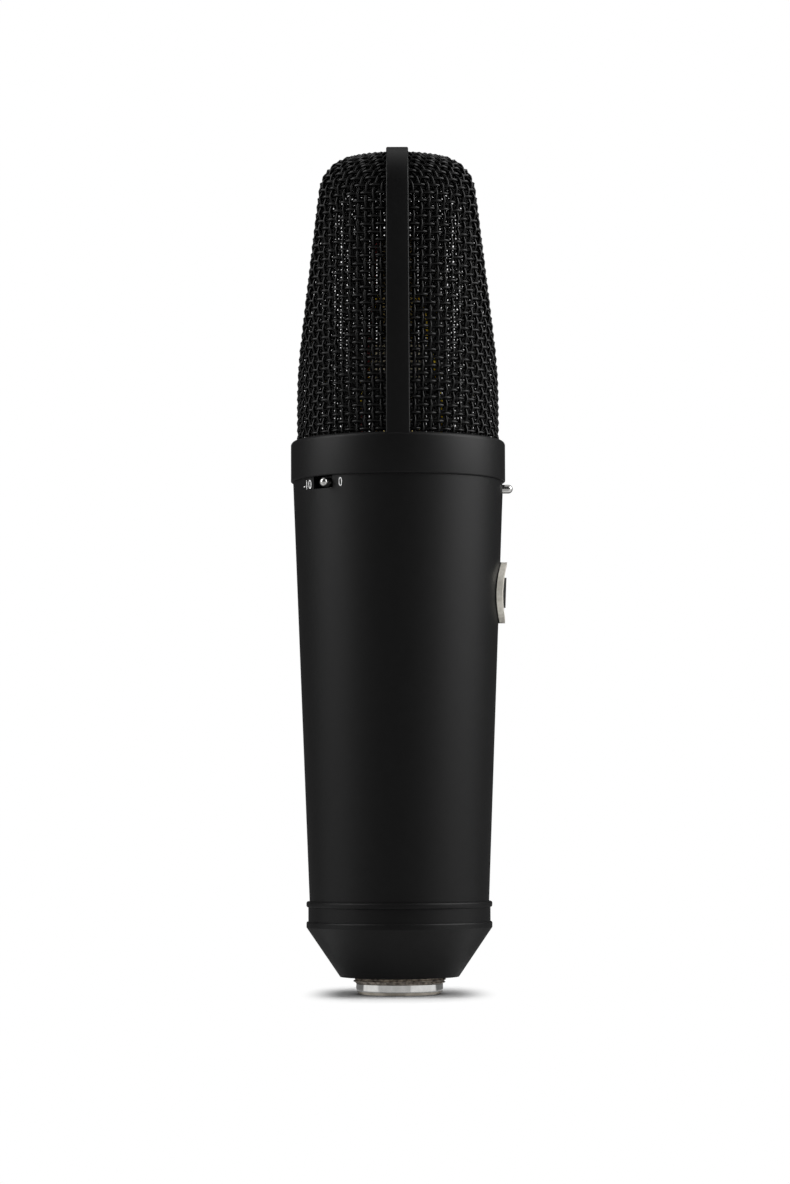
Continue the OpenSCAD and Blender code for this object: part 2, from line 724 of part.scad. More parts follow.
// Places of the three screws that hold the boss to the base plate
module boss_screw_places() {
  for (turn = [90, 210, 330])
    rotate([0, 0, turn])
      translate([boss_screw_r, 0, z_plate - boss_flange_t])
        children();
}

// Places of the three contact pins
module pin_places() {
  for (turn = [0, 180, 270])
    rotate([0, 0, turn])
      translate([pin_circle_r, 0, 0])
        children();
}

// Insulating insert that closes the socket
module connector_insert() {
  color("#17181a")
    difference() {
      translate([0, 0, socket_depth])
        cylinder(h = z_plate - socket_depth, r = socket_d / 2 + insert_shoulder);
      pin_places()
        translate([0, 0, socket_depth - cut])
          cylinder(h = z_plate, d = pin_d + slip);
    }
}

// Contact pins with round tips, a collar on the insert and a solder cup above it
module connector_pins() {
  color("#d8b45a")
    pin_places() {
      translate([0, 0, pin_recess + pin_d / 2]) {
        sphere(d = pin_d);
        cylinder(h = z_plate - pin_recess - pin_d / 2, d = pin_d);
      }
      translate([0, 0, z_plate])
        cylinder(h = pin_d / 2, d = 1.5 * pin_d);
      translate([0, 0, z_plate + pin_d / 2])
        difference() {
          cylinder(h = 1.5 * pin_d, d = pin_d);
          translate([0, 0, 0.5 * pin_d])
            cylinder(h = 1.5 * pin_d, d = 0.6 * pin_d);
        }
    }
}

// Places of the rails' end screws, on the rails' centre lines
module rail_places() {
  for (side = [-1, 1])
    translate([side * rail_x, 0, 0])
      children();
}

// Plate that carries the rails, the transformer and the boss
module base_plate() {
  color("#8d8f92")
    difference() {
      union() {
        translate([0, 0, z_plate])
          cylinder(h = base_plate_in, r = bell_bore_r - slip);
        translate([0, 0, z_plate])
          cylinder(h = base_plate_in + base_plate_up, r = min(sleeve_in_r, bell_bore_r) - slip);
      }
      translate([0, 0, z_plate - cut])
        cylinder(h = base_plate_in + base_plate_up + 2 * cut, r = plate_hole_r);
      boss_screw_places()
        screw_hole(boss_flange_t + screw_bite);
      rail_places() {
        translate([0, 0, z_plate - cut])
          cylinder(h = screw_head_h + slip + cut, d = screw_head_d + 2 * slip);
        translate([0, 0, z_plate])
          screw_hole(base_plate_in + base_plate_up);
      }
    }
}

// Rail with a step in its sides under the switch board and tapped holes for its screws
module rail(side) {
  color("#9a9c9f")
    difference() {
      union() {
        translate([side * rail_x - rail_t / 2, -rail_half, z_chassis])
          cube([rail_t, rail_w, z_switch_board - z_chassis]);
        translate([side * rail_x - rail_t / 2, rail_step - rail_half, z_chassis])
          cube([rail_t, rail_w - 2 * rail_step, z_head_plate - z_chassis]);
      }
      translate([side * rail_x, 0, z_chassis])
        screw_hole(screw_bite);
      translate([side * rail_x, 0, z_head_plate])
        mirror([0, 0, 1])
          screw_hole(screw_bite);
      for (face = [-1, 1])
        for (z = board_screw_z)
          translate([side * rail_x, face * rail_half, z])
            rotate([face * 90, 0, 0])
              screw_hole(screw_bite);
    }
}

module left_rail() {
  rail(-1);
}

module right_rail() {
  rail(1);
}

// Plate under the collar's ledge, with a wire hole on each side of the capsule's foot
module head_plate() {
  color("#3b3d40")
    difference() {
      translate([0, 0, z_head_plate])
        cylinder(h = head_plate_t, r = head_plate_r);
      head_screw_places()
        screw_hole(head_plate_t + cut);
      rail_places()
        translate([0, 0, z_ledge])
          mirror([0, 0, 1])
            screw_hole(head_plate_t + cut);
      for (side = [-1, 1])
        translate([-rail_half, side * (ledge_r - rail_half / 2), z_head_plate - cut])
          cylinder(h = head_plate_t + 2 * cut, d = wire_hole_d);
    }
}

// Places of the screws that hold the head plate to the collar's ledge, from below
module head_screw_places() {
  for (turn = head_screw_turns)
    rotate([0, 0, turn])
      translate([head_screw_r, 0, z_head_plate])
        children();
}

// Collar with a filleted top edge, a seat for the mesh, pockets for the strap and an inner ledge
module collar() {
  color("#1d1d1f")
    difference() {
      rotate_extrude()
        difference() {
          turned(ledge_r, collar_r, z_collar, z_head);
          upper_fillet(collar_r, z_head, collar_top_f);
          lower_fillet(collar_r, z_collar, collar_low_f);
          turned(0, collar_bore_r, z_collar - cut, z_ledge);
          turned(0, collar_bore_r, z_ledge_top, z_head + cut);
          turned(0, mesh_r + strap_room, z_seat, z_head + cut);
        }
      for (side = [-1, 1])
        translate([side * (mesh_r + strap_r) / 2, 0, z_seat + seat_depth])
          cube([strap_r - mesh_r + 4 * slip, strap_low_w + 2 * slip, 2 * seat_depth], center = true);
      head_screw_places()
        screw_hole(head_plate_t + ledge_h - ledge_skin);
    }
}

// Outline of an arch with round shoulders, from z up to the top
module arch(half_w, top, shoulder, z) {
  translate([-half_w, z])
    square([2 * half_w, top - shoulder - z]);
  translate([shoulder - half_w, z])
    square([2 * (half_w - shoulder), top - z]);
  for (side = [-1, 1])
    translate([side * (half_w - shoulder), top - shoulder])
      circle(shoulder);
}

// Strap over the head, a little narrower at the top, with both feet in the collar
module head_strap() {
  color("#1a1a1c")
    intersection() {
      rotate([90, 0, 0])
        linear_extrude(height = strap_low_w + strap_top_w, center = true)
          difference() {
            arch(strap_r, z_top, shoulder_r + strap_room + strap_t, z_seat);
            arch(strap_r - strap_t, z_top - strap_t, shoulder_r + strap_room, z_seat - cut);
          }
      rotate([90, 0, 90])
        linear_extrude(height = 2 * strap_r + 2 * cut, center = true)
          polygon([
            [-strap_low_w / 2, z_seat],
            [strap_low_w / 2, z_seat],
            [strap_top_w / 2, z_top],
            [-strap_top_w / 2, z_top]
          ]);
    }
}

// Coarse lattice of the woven outer mesh
module outer_mesh() {
  points = lattice_points(mesh_grid, 0, outline_s, mesh_hem, mesh_bar_w, 0, mesh_bar_t);
  color("#141415")
    polyhedron(points = points, faces = lattice_faces(mesh_grid), convexity = 10);
}

// Coarse lattice of the fine mesh, from the ledge up to the strap
module inner_mesh() {
  inside = liner_inset + liner_t;
  points = lattice_points(liner_grid, liner_low_s, outline_s, mesh_hem, liner_bar_w, liner_inset, inside);
  color("#232325")
    polyhedron(points = points, faces = lattice_faces(liner_grid), convexity = 10);
}

// Brass foot of the capsule post
module post_foot() {
  color("#a8843c") {
    translate([0, 0, z_ledge])
      cylinder(h = post_foot_h / 3, d = post_foot_d);
    translate([0, 0, z_ledge])
      cylinder(h = post_foot_h, d = post_d);
  }
}

// Insulating post between the foot and the saddle
module capsule_post() {
  color("#151516")
    translate([0, 0, z_post])
      cylinder(h = z_saddle - z_post, d = post_d);
}

// Round bar along Y about the capsule's axis, between two places on it
module capsule_disc(r, y0, y1) {
  translate([0, y0, z_capsule])
    rotate([-90, 0, 0])
      cylinder(h = y1 - y0, r = r);
}

// Saddle with a round seat for the capsule's edge
module capsule_saddle() {
  color("#d9cfae")
    difference() {
      translate([-saddle_len / 2, -saddle_w / 2, z_saddle])
        cube([saddle_len, saddle_w, saddle_t + capsule_r - sqrt(pow(capsule_r, 2) - pow(saddle_len / 2, 2))]);
      capsule_disc(capsule_r, -saddle_w, saddle_w);
    }
}

// Drilled brass plate behind one diaphragm
module backplate(side) {
  color("#c7a04a")
    mirror([0, side < 0 ? 1 : 0, 0])
      difference() {
        capsule_disc(capsule_r - slip, gasket_t / 2, backplate_y);
        for (ring = [1:3])
          for (k = [0:6 * ring - 1])
            rotate_about_capsule(k * 60 / ring)
              translate([ring * capsule_r / 5, backplate_y - backplate_t / 2, z_capsule])
                rotate([-90, 0, 0])
                  cylinder(h = backplate_t, d = backplate_hole_d);
      }
}

// Turns children about the capsule's axis
module rotate_about_capsule(turn) {
  translate([0, 0, z_capsule])
    rotate([0, turn, 0])
      translate([0, 0, -z_capsule])
        children();
}

module front_backplate() {
  backplate(-1);
}

module rear_backplate() {
  backplate(1);
}

// Insulating ring between the backplates
module backplate_gasket() {
  color("#e8e2cf")
    difference() {
      capsule_disc(capsule_r - slip, -gasket_t / 2, gasket_t / 2);
      capsule_disc(capsule_r - clamp_ring_w, -gasket_t, gasket_t);
    }
}

// Thin metallised disc inside a clamp ring
module diaphragm(side) {
  color("#dcb95c")
    mirror([0, side < 0 ? 1 : 0, 0])
      capsule_disc(capsule_r - clamp_ring_w, backplate_y, backplate_y + diaphragm_t);
}

module front_diaphragm() {
  diaphragm(-1);
}

module rear_diaphragm() {
  diaphragm(1);
}

// Ring that clamps one diaphragm, with recesses for its screws
module clamp_ring(side) {
  color("#b9954a")
    mirror([0, side < 0 ? 1 : 0, 0])
      difference() {
        capsule_disc(capsule_r, backplate_y, capsule_y);
        capsule_disc(capsule_r - clamp_ring_w + slip / 2, backplate_y - cut, capsule_y + cut);
        clamp_screw_places()
          cylinder(h = clamp_ring_t, d = clamp_ring_w * 0.6);
      }
}

// Places of one ring's screws, half way into the ring
module clamp_screw_places() {
  for (k = [0:clamp_screw_count - 1])
    rotate_about_capsule((k + 0.5) * 360 / clamp_screw_count)
      translate([capsule_r - clamp_ring_w / 2, capsule_y - clamp_ring_t / 2, z_capsule])
        rotate([-90, 0, 0])
          children();
}

module front_clamp_ring() {
  clamp_ring(-1);
}

module rear_clamp_ring() {
  clamp_ring(1);
}

// Slotted heads of the clamp rings' screws
module clamp_screws() {
  color("#c9a95a")
    for (side = [0, 1])
      mirror([0, side, 0])
        clamp_screw_places()
          difference() {
            cylinder(h = clamp_ring_t / 2, d = clamp_ring_w * 0.6 - slip);
            translate([-clamp_ring_w, -screw_slot_w / 2, clamp_ring_t / 4])
              cube([2 * clamp_ring_w, screw_slot_w, clamp_ring_t]);
          }
}

// Round terminals in the middle of both diaphragms
module centre_terminals() {
  color("#d3ad55")
    for (side = [0, 1])
      mirror([0, side, 0])
        capsule_disc(terminal_d / 2, backplate_y + diaphragm_t, terminal_y);
}

// Tube along a smooth path through the knots
module lead(knots) {
  path = lead_path(knots);
  last = len(path) - 1;
  points = [for (i = [0:last]) each lead_ring(path[i], lead_way(knots, path, i))];
  sides = [
    for (i = [0:last - 1])
      for (k = [0:lead_sides - 1])
        let (next = (k + 1) % lead_sides)
          [i * lead_sides + k, i * lead_sides + next, (i + 1) * lead_sides + next, (i + 1) * lead_sides + k]
  ];
  first_cap = [for (k = [lead_sides - 1:-1:0]) k];
  last_cap = [for (k = [0:lead_sides - 1]) last * lead_sides + k];
  polyhedron(points = points, faces = concat(sides, [first_cap, last_cap]), convexity = 6);
}

module front_lead() {
  color("#d9b53a")
    lead(front_lead_knots);
}

module rear_lead() {
  color("#d9b53a")
    lead(rear_lead_knots);
}

module backplate_lead() {
  color("#b3332a")
    lead(backplate_lead_knots);
}

// Round board on the steps of the rails, which carries the three switches
module switch_board() {
  color("#2f5d43")
    translate([0, 0, z_switch_board])
      linear_extrude(height = board_t)
        difference() {
          circle(sleeve_r(z_switch_board) - sleeve_wall - switch_board_room);
          rail_places()
            square([rail_t + 2 * slip, rail_w - 2 * rail_step + 2 * slip], center = true);
          circle(plate_hole_r);
        }
}

// Switch housing: a box with a cavity for the slider and a window for the lever
module housing(turn) {
  color("#2a2b2d")
    rotate([0, 0, turn])
      difference() {
        translate([housing_in_r, -housing_w / 2, z_housing])
          cube([housing_depth, housing_w, housing_h]);
        translate([housing_in_r + housing_wall, housing_wall - housing_w / 2, z_lever - cavity_half_h])
          cube([housing_depth - 2 * housing_wall, housing_w - 2 * housing_wall, 2 * cavity_half_h]);
        translate([housing_out_r - housing_wall - cut, -window_half_w, z_lever - lever_r - 2 * slider_room])
          cube([housing_wall + 2 * cut, 2 * window_half_w, lever_d + 4 * slider_room]);
      }
}

module pattern_housing() {
  housing(pattern_turn);
}

module pad_housing() {
  housing(pad_turn);
}

module low_cut_housing() {
  housing(low_cut_turn);
}

// Slider block with a round-ended lever, at a place along its slot
module lever(turn, place) {
  color("#c9cacc")
    rotate([0, 0, turn])
      translate([0, place, z_lever]) {
        translate([
          housing_in_r + housing_wall + slider_room,
          -slider_half_w,
          slider_room - cavity_half_h
        ])
          cube([
            housing_depth - 2 * housing_wall - 2 * slider_room,
            2 * slider_half_w,
            2 * cavity_half_h - 2 * slider_room
          ]);
        translate([housing_out_r - housing_depth / 2, 0, 0])
          rotate([0, 90, 0])
            cylinder(h = lever_tip_r - lever_r - housing_out_r + housing_depth / 2, r = lever_r);
        translate([lever_tip_r - lever_r, 0, 0])
          sphere(lever_r);
      }
}

module pattern_lever() {
  lever(pattern_turn, 0);
}

module pad_lever() {
  lever(pad_turn, lever_travel);
}

module low_cut_lever() {
  lever(low_cut_turn, -lever_travel);
}

// Upright board on one side of the rails
module board(side) {
  translate([0, side > 0 ? board_y : -rail_half, z_board])
    rotate([90, 0, 0])
      linear_extrude(height = board_t)
        difference() {
          translate([-board_w / 2, 0])
            square([board_w, board_h]);
          for (x = [-rail_x, rail_x])
            for (z = board_screw_z)
              translate([x, z - z_board])
                circle(screw_hole_r);
        }
}

module amplifier_board() {
  color("#2f5d43")
    board(-1);
}

module converter_board() {
  color("#2f5d43")
    board(1);
}

// Box capacitors on the amplifier board, each taller than the one before
module film_capacitors() {
  color("#b5482e")
    for (k = [0:2])
      translate([(k - 1) * (film_w + part_gap) - film_w / 2, -board_y - film_out, z_board + board_h * 0.55])
        cube([film_w, film_out, film_h * (1 + k / 4)]);
}

// Can transistors on the amplifier board
module transistors() {
  color("#a9abad")
    for (side = [-1, 1])
      translate([side * transistor_step / 2, -board_y, z_board + board_h * 0.3])
        rotate([90, 0, 0])
          cylinder(h = transistor_out, d = transistor_d);
}

// Upright capacitors on the converter board
module electrolytic_capacitors() {
  color("#27324a")
    for (k = [-1:1])
      translate([k * (can_d + part_gap), board_y, z_board + board_h * 0.7])
        rotate([-90, 0, 0])
          cylinder(h = can_out, d = can_d);
}

// Ring coil on the converter board, flat where it lies on it
module converter_coil() {
  flat = 0.46 * coil_t;
  color("#9c5a2c")
    translate([0, board_y + flat, z_board + board_h * 0.28])
      rotate([90, 0, 0])
        rotate_extrude()
          difference() {
            translate([coil_d / 2, 0])
              circle(d = coil_t);
            translate([0, flat])
              square(coil_d + coil_t);
          }
}

// Laminated core with two windows
module transformer_core() {
  color("#6d6f73")
    difference() {
      translate([-core_half_w, -core_d / 2, z_chassis])
        cube([2 * core_half_w, core_d, core_h]);
      for (side = [-1, 1])
        translate([side * (core_half_w - core_leg - window_w / 2), 0, z_chassis + core_h / 2])
          cube([window_w, 2 * core_d, core_h - 2 * core_leg], center = true);
    }
}

// Winding around the core's middle leg
module transformer_winding() {
  color("#c9b48a")
    difference() {
      translate([0, 0, z_chassis + core_h / 2])
        cube([
          middle_leg + 2 * window_w - 2 * slip,
          core_d + 2 * winding_bulge,
          core_h - 2 * core_leg
        ], center = true);
      translate([0, 0, z_chassis + core_h / 2])
        cube([middle_leg, core_d, core_h], center = true);
    }
}

// Bracket over the core, standing on the base plate
module transformer_bracket() {
  color("#8a8c90")
    difference() {
      translate([-core_half_w - bracket_t, -core_d / 4, z_chassis])
        cube([2 * core_half_w + 2 * bracket_t, core_d / 2, core_h + bracket_t]);
      translate([-core_half_w, -core_d, z_chassis - cut])
        cube([2 * core_half_w, 2 * core_d, core_h + cut]);
    }
}

// Screws from the head plate up into the collar's ledge
module head_screws() {
  color("#3a3a3c")
    head_screw_places()
      screw(head_plate_t + ledge_h - ledge_skin);
}

// Screws at both ends of the rails
module rail_screws() {
  color("#b8babd")
    rail_places() {
      translate([0, 0, z_plate + screw_head_h])
        screw(base_plate_in + base_plate_up - screw_head_h + screw_bite);
      translate([0, 0, z_ledge])
        mirror([0, 0, 1])
          screw(head_plate_t + screw_bite);
    }
}

// Screws that hold both boards to the rails
module board_screws() {
  color("#b8babd")
    for (side = [-1, 1])
      for (x = [-rail_x, rail_x])
        for (z = board_screw_z)
          translate([x, side * board_y, z])
            rotate([side * 90, 0, 0])
              screw(board_t + screw_bite);
}

// Screws from the boss's flange up into the base plate
module boss_screws() {
  color("#b8babd")
    boss_screw_places()
      screw(boss_flange_t + screw_bite);
}

outer_mesh();
inner_mesh();
head_strap();
collar();
head_plate();
post_foot();
capsule_post();
capsule_saddle();
front_backplate();
rear_backplate();
backplate_gasket();
front_diaphragm();
rear_diaphragm();
front_clamp_ring();
rear_clamp_ring();
clamp_screws();
centre_terminals();
front_lead();
rear_lead();
backplate_lead();
sleeve();
badge_dish();
badge_button();
switch_board();
pattern_housing();
pad_housing();
low_cut_housing();
pattern_lever();
pad_lever();
low_cut_lever();
left_rail();
right_rail();
base_plate();
amplifier_board();
converter_board();
film_capacitors();
electrolytic_capacitors();
transistors();
converter_coil();
transformer_core();
transformer_winding();
transformer_bracket();
base_bell();
threaded_boss();
connector_insert();
connector_pins();
head_screws();
rail_screws();
board_screws();
boss_screws();
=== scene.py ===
"""Side-address condenser microphone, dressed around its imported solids.

The woven head, the strap, the plated boss, the capsule's leads and the pad switch's figures are built here
as finer pieces, the other solids get their finishes, and a pale studio with the camera is set up around
them. Lengths are in metres.
"""

import math

import bmesh
import bpy
import numpy as np
from bpy.props import FloatProperty, FloatVectorProperty, IntProperty, PointerProperty
from mathutils import Matrix, Vector


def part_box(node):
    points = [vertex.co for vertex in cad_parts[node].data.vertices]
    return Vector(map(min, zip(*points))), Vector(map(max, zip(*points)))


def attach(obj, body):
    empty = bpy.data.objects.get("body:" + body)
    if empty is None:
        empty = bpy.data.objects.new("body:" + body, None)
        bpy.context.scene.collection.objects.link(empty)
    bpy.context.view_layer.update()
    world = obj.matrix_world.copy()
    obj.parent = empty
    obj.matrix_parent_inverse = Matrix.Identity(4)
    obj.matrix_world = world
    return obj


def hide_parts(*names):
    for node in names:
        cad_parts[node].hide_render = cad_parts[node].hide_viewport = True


bl_info = {
    "name": "Condenser microphone",
    "version": (1, 0, 0),
    "blender": (4, 5, 0),
    "location": "3D View > Sidebar > Microphone",
    "description": "Dresses the solids of a side-address condenser microphone",
    "category": "Object",
}

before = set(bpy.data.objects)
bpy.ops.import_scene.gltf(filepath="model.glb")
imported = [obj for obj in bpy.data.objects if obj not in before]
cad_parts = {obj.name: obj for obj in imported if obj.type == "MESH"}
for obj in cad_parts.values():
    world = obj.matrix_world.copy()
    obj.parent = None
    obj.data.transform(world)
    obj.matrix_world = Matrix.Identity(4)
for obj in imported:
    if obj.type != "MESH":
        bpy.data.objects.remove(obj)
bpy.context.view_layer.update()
MM = 0.001
MICROPHONE = "microphone"
TURN = 2 * math.pi
SLEEVE_LOW_R = 24.25 * MM
SLEEVE_TOP_R = 28.55 * MM
WELD_GAP = 0.001 * MM
SHARP_ANGLE = math.radians(30)


# Sizes and colours


class HeadSizes(bpy.types.PropertyGroup):
    """Wires and strap of the head."""

    wire_d: FloatProperty(
        name="Wire", description="Diameter of the outer wires", default=0.74 * MM, unit="LENGTH"
    )
    uprights: IntProperty(
        name="Uprights", description="Upright wires around the outer mesh", default=76, min=24
    )
    hoop_pitch: FloatProperty(
        name="Hoop pitch", description="Distance between the hoops", default=2.12 * MM, unit="LENGTH"
    )
    fine_wire_d: FloatProperty(
        name="Fine wire", description="Diameter of the fine wires", default=0.53 * MM, unit="LENGTH"
    )
    fine_uprights: IntProperty(
        name="Fine uprights", description="Upright wires around the fine mesh", default=148, min=40
    )
    fine_pitch: FloatProperty(
        name="Fine pitch", description="Distance between the fine hoops", default=1.06 * MM, unit="LENGTH"
    )
    strap_edge_r: FloatProperty(
        name="Strap edge", description="Radius of the strap's edges", default=0.36 * MM, unit="LENGTH"
    )


class BossSizes(bpy.types.PropertyGroup):
    """Thread of the connector boss."""

    thread_pitch: FloatProperty(
        name="Pitch", description="Pitch of the thread", default=0.9 * MM, unit="LENGTH"
    )
    thread_depth: FloatProperty(
        name="Depth", description="Depth of the thread", default=0.5 * MM, unit="LENGTH"
    )


class FinishColours(bpy.types.PropertyGroup):
    """Colours of the finishes that show."""

    enamel: FloatVectorProperty(
        name="Enamel",
        description="Black enamel of the shells",
        subtype="COLOR",
        default=(0.0018, 0.0018, 0.0019),
    )
    wire: FloatVectorProperty(
        name="Wire",
        description="Blackened wire",
        subtype="COLOR",
        default=(0.0016, 0.0016, 0.0016),
    )
    nickel: FloatVectorProperty(
        name="Nickel",
        description="Plating of the boss and levers",
        subtype="COLOR",
        default=(0.62, 0.615, 0.6),
    )
    marks: FloatVectorProperty(
        name="Marks",
        description="Figures beside the pad switch",
        subtype="COLOR",
        default=(0.72, 0.72, 0.72),
    )


# Nodes


def feed(tree, socket, source):
    """Links another node's output to a socket, or sets the socket to a plain value."""
    if isinstance(source, bpy.types.NodeSocket):
        tree.links.new(source, socket)
    else:
        socket.default_value = source


def math_step(tree, operation, *sources):
    """Output of a Math node, fed in order with outputs or plain values."""
    step = tree.nodes.new("ShaderNodeMath")
    step.operation = operation
    for socket, source in zip(step.inputs, sources):
        feed(tree, socket, source)
    return step.outputs["Value"]


def vector_step(tree, operation, *sources):
    """Output of a Vector Math node: a number for a length or a dot product, and else a vector."""
    step = tree.nodes.new("ShaderNodeVectorMath")
    step.operation = operation
    for socket, source in zip(step.inputs, sources):
        feed(tree, socket, source)
    return step.outputs["Value" if operation in ("LENGTH", "DOT_PRODUCT") else "Vector"]


def graded(tree, value, start, end, low=0.0, high=1.0, smooth=False):
    """Goes from low to high while a value goes from start to end."""
    grade = tree.nodes.new("ShaderNodeMapRange")
    grade.interpolation_type = "SMOOTHSTEP" if smooth else "LINEAR"
    sources = {"Value": value, "From Min": start, "From Max": end, "To Min": low, "To Max": high}
    for name, source in sources.items():
        feed(tree, grade.inputs[name], source)
    return grade.outputs["Result"]


def parted(tree, vector):
    """X, Y and Z of a vector, by name."""
    parts = tree.nodes.new("ShaderNodeSeparateXYZ")
    tree.links.new(vector, parts.inputs["Vector"])
    return parts.outputs


def own_place(tree):
    """Places on a piece in its own metres."""
    return tree.nodes.new("ShaderNodeTexCoord").outputs["Object"]


def axis_distance(tree, place):
    """Distance of a place from the microphone's axis."""
    return vector_step(tree, "LENGTH", vector_step(tree, "MULTIPLY", place, (1, 1, 0)))


# Finishes


def new_finish(name, colour, roughness, metallic=0.0, specular=0.5):
    """A material with one Principled shader, and that shader."""
    mat = bpy.data.materials.new(name)
    mat.use_nodes = True
    shader = mat.node_tree.nodes["Principled BSDF"]
    shader.inputs["Base Color"].default_value = (*colour, 1)
    shader.inputs["Roughness"].default_value = roughness
    shader.inputs["Metallic"].default_value = metallic
    shader.inputs["Specular IOR Level"].default_value = specular
    return mat, shader


def grain(mat, scale, stretch=(1, 1, 1), detail=3.0):
    """Noise in the piece's own metres, with so many grains to the metre, drawn out by stretch."""
    tree = mat.node_tree
    mapping = tree.nodes.new("ShaderNodeMapping")
    mapping.inputs["Scale"].default_value = stretch
    noise = tree.nodes.new("ShaderNodeTexNoise")
    noise.inputs["Scale"].default_value = scale
    noise.inputs["Detail"].default_value = detail
    tree.links.new(own_place(tree), mapping.inputs["Vector"])
    tree.links.new(mapping.outputs["Vector"], noise.inputs["Vector"])
    return noise.outputs["Fac"]


def vary(mat, shader, socket, fac, low, high, start=0.3, end=0.7):
    """Drives a colour or a value of the shader from low to high while a grain goes from start to end."""
    tree = mat.node_tree
    if isinstance(low, tuple):
        ramp = tree.nodes.new("ShaderNodeValToRGB")
        first, last = ramp.color_ramp.elements
        first.position, last.position = start, end
        first.color, last.color = (*low, 1), (*high, 1)
        tree.links.new(fac, ramp.inputs["Fac"])
        result = ramp.outputs["Color"]
    else:
        result = graded(tree, fac, start, end, low, high)
    tree.links.new(result, shader.inputs[socket])


def relief(mat, shader, fac, depth, strength=1.0):
    """Bump of that depth in metres from a grain."""
    tree = mat.node_tree
    bump = tree.nodes.new("ShaderNodeBump")
    bump.inputs["Distance"].default_value = depth
    bump.inputs["Strength"].default_value = strength
    tree.links.new(fac, bump.inputs["Height"])
    tree.links.new(bump.outputs["Normal"], shader.inputs["Normal"])


def shade(colour, factor):
    """The colour made lighter or darker."""
    return tuple(min(1.0, c * factor) for c in colour)


def black_enamel(name, colour, specular):
    """Satin black paint with a fine even tooth."""
    roughness = 0.48
    mat, shader = new_finish(name, colour, roughness, specular=specular)
    tooth = grain(mat, 2600, detail=2)
    vary(mat, shader, "Base Color", grain(mat, 260), shade(colour, 0.86), shade(colour, 1.16))
    vary(mat, shader, "Roughness", tooth, roughness - 0.04, roughness + 0.04)
    relief(mat, shader, tooth, 0.012 * MM, 0.5)
    return mat


def blackened_wire(name, colour, roughness):
    """Blackened satin wire, a little uneven along its length."""
    mat, shader = new_finish(name, colour, roughness, specular=0.2)
    patches = grain(mat, 420)
    vary(mat, shader, "Base Color", patches, shade(colour, 0.75), shade(colour, 1.3))
    vary(mat, shader, "Roughness", patches, roughness - 0.06, roughness + 0.08)
    return mat


def turned_metal(name, colour, roughness, stretch=(30, 30, 9000), depth=0.002 * MM):
    """Plated metal with fine turning lines."""
    mat, shader = new_finish(name, colour, roughness, metallic=1.0)
    lines = grain(mat, 1, stretch, detail=2)
    vary(mat, shader, "Base Color", grain(mat, 500), shade(colour, 0.9), shade(colour, 1.05))
    vary(mat, shader, "Roughness", lines, 0.7 * roughness, 1.35 * roughness)
    relief(mat, shader, lines, depth, 0.4)
    return mat


def aged_metal(name, light, dark, roughness, metallic=1.0):
    """Plating with darker patches from handling and age."""
    mat, shader = new_finish(name, light, roughness, metallic=metallic)
    patches = grain(mat, 900, detail=5)
    vary(mat, shader, "Base Color", patches, dark, light, 0.35, 0.6)
    vary(mat, shader, "Roughness", patches, roughness + 0.12, roughness - 0.05)
    relief(mat, shader, grain(mat, 3500), 0.008 * MM, 0.4)
    return mat


def painted_foot_shadow(mat, foot_r, taper, fade=0.08 * MM, shadow=0.02):
    """Paints a shadow onto the foot of a piece on the sleeve, up to a radius that grows with the height by
    taper.
    """
    tree = mat.node_tree
    colour = tree.nodes["Principled BSDF"].inputs["Base Color"]
    plain = colour.links[0].from_socket
    place = own_place(tree)
    height = parted(tree, place)["Z"]
    upright_r = math_step(tree, "MULTIPLY_ADD", height, -taper, axis_distance(tree, place))
    bright = graded(tree, upright_r, foot_r, foot_r + fade, low=shadow)
    tree.links.new(vector_step(tree, "MULTIPLY", plain, bright), colour)


def plated_outside(mat, colour, inner_r, edge=0.05 * MM, black=(0.01, 0.01, 0.01)):
    """Keeps the plating to what stands farther out from the microphone's axis, and blackens the rest."""
    shader = mat.node_tree.nodes["Principled BSDF"]
    reach = axis_distance(mat.node_tree, own_place(mat.node_tree))
    vary(mat, shader, "Base Color", reach, black, colour, inner_r - edge, inner_r)
    vary(mat, shader, "Metallic", reach, 0.0, 1.0, inner_r - edge, inner_r)


def moulded(name, colour, roughness, specular=0.4):
    """Moulded or dipped plastic with a fine texture."""
    mat, shader = new_finish(name, colour, roughness, specular=specular)
    texture = grain(mat, 1800)
    vary(mat, shader, "Base Color", grain(mat, 160), shade(colour, 0.88), shade(colour, 1.1))
    vary(mat, shader, "Roughness", texture, roughness - 0.05, roughness + 0.07)
    relief(mat, shader, texture, 0.01 * MM, 0.5)
    return mat


def laminate(name, light, dark):
    """Lacquered board whose glass weave shows faintly."""
    mat, shader = new_finish(name, light, 0.38)
    vary(mat, shader, "Base Color", grain(mat, 1, (2600, 2600, 300)), dark, light)
    relief(mat, shader, grain(mat, 1500), 0.01 * MM, 0.5)
    return mat


def wound_copper():
    """Lacquered copper wire, laid in turns."""
    mat, shader = new_finish("copper_winding", (0.42, 0.18, 0.06), 0.35, metallic=1.0)
    turns = grain(mat, 1, (60, 60, 3500), detail=1)
    vary(mat, shader, "Base Color", turns, (0.2, 0.07, 0.02), (0.5, 0.23, 0.08))
    relief(mat, shader, turns, 0.08 * MM)
    return mat


# Mesh tools


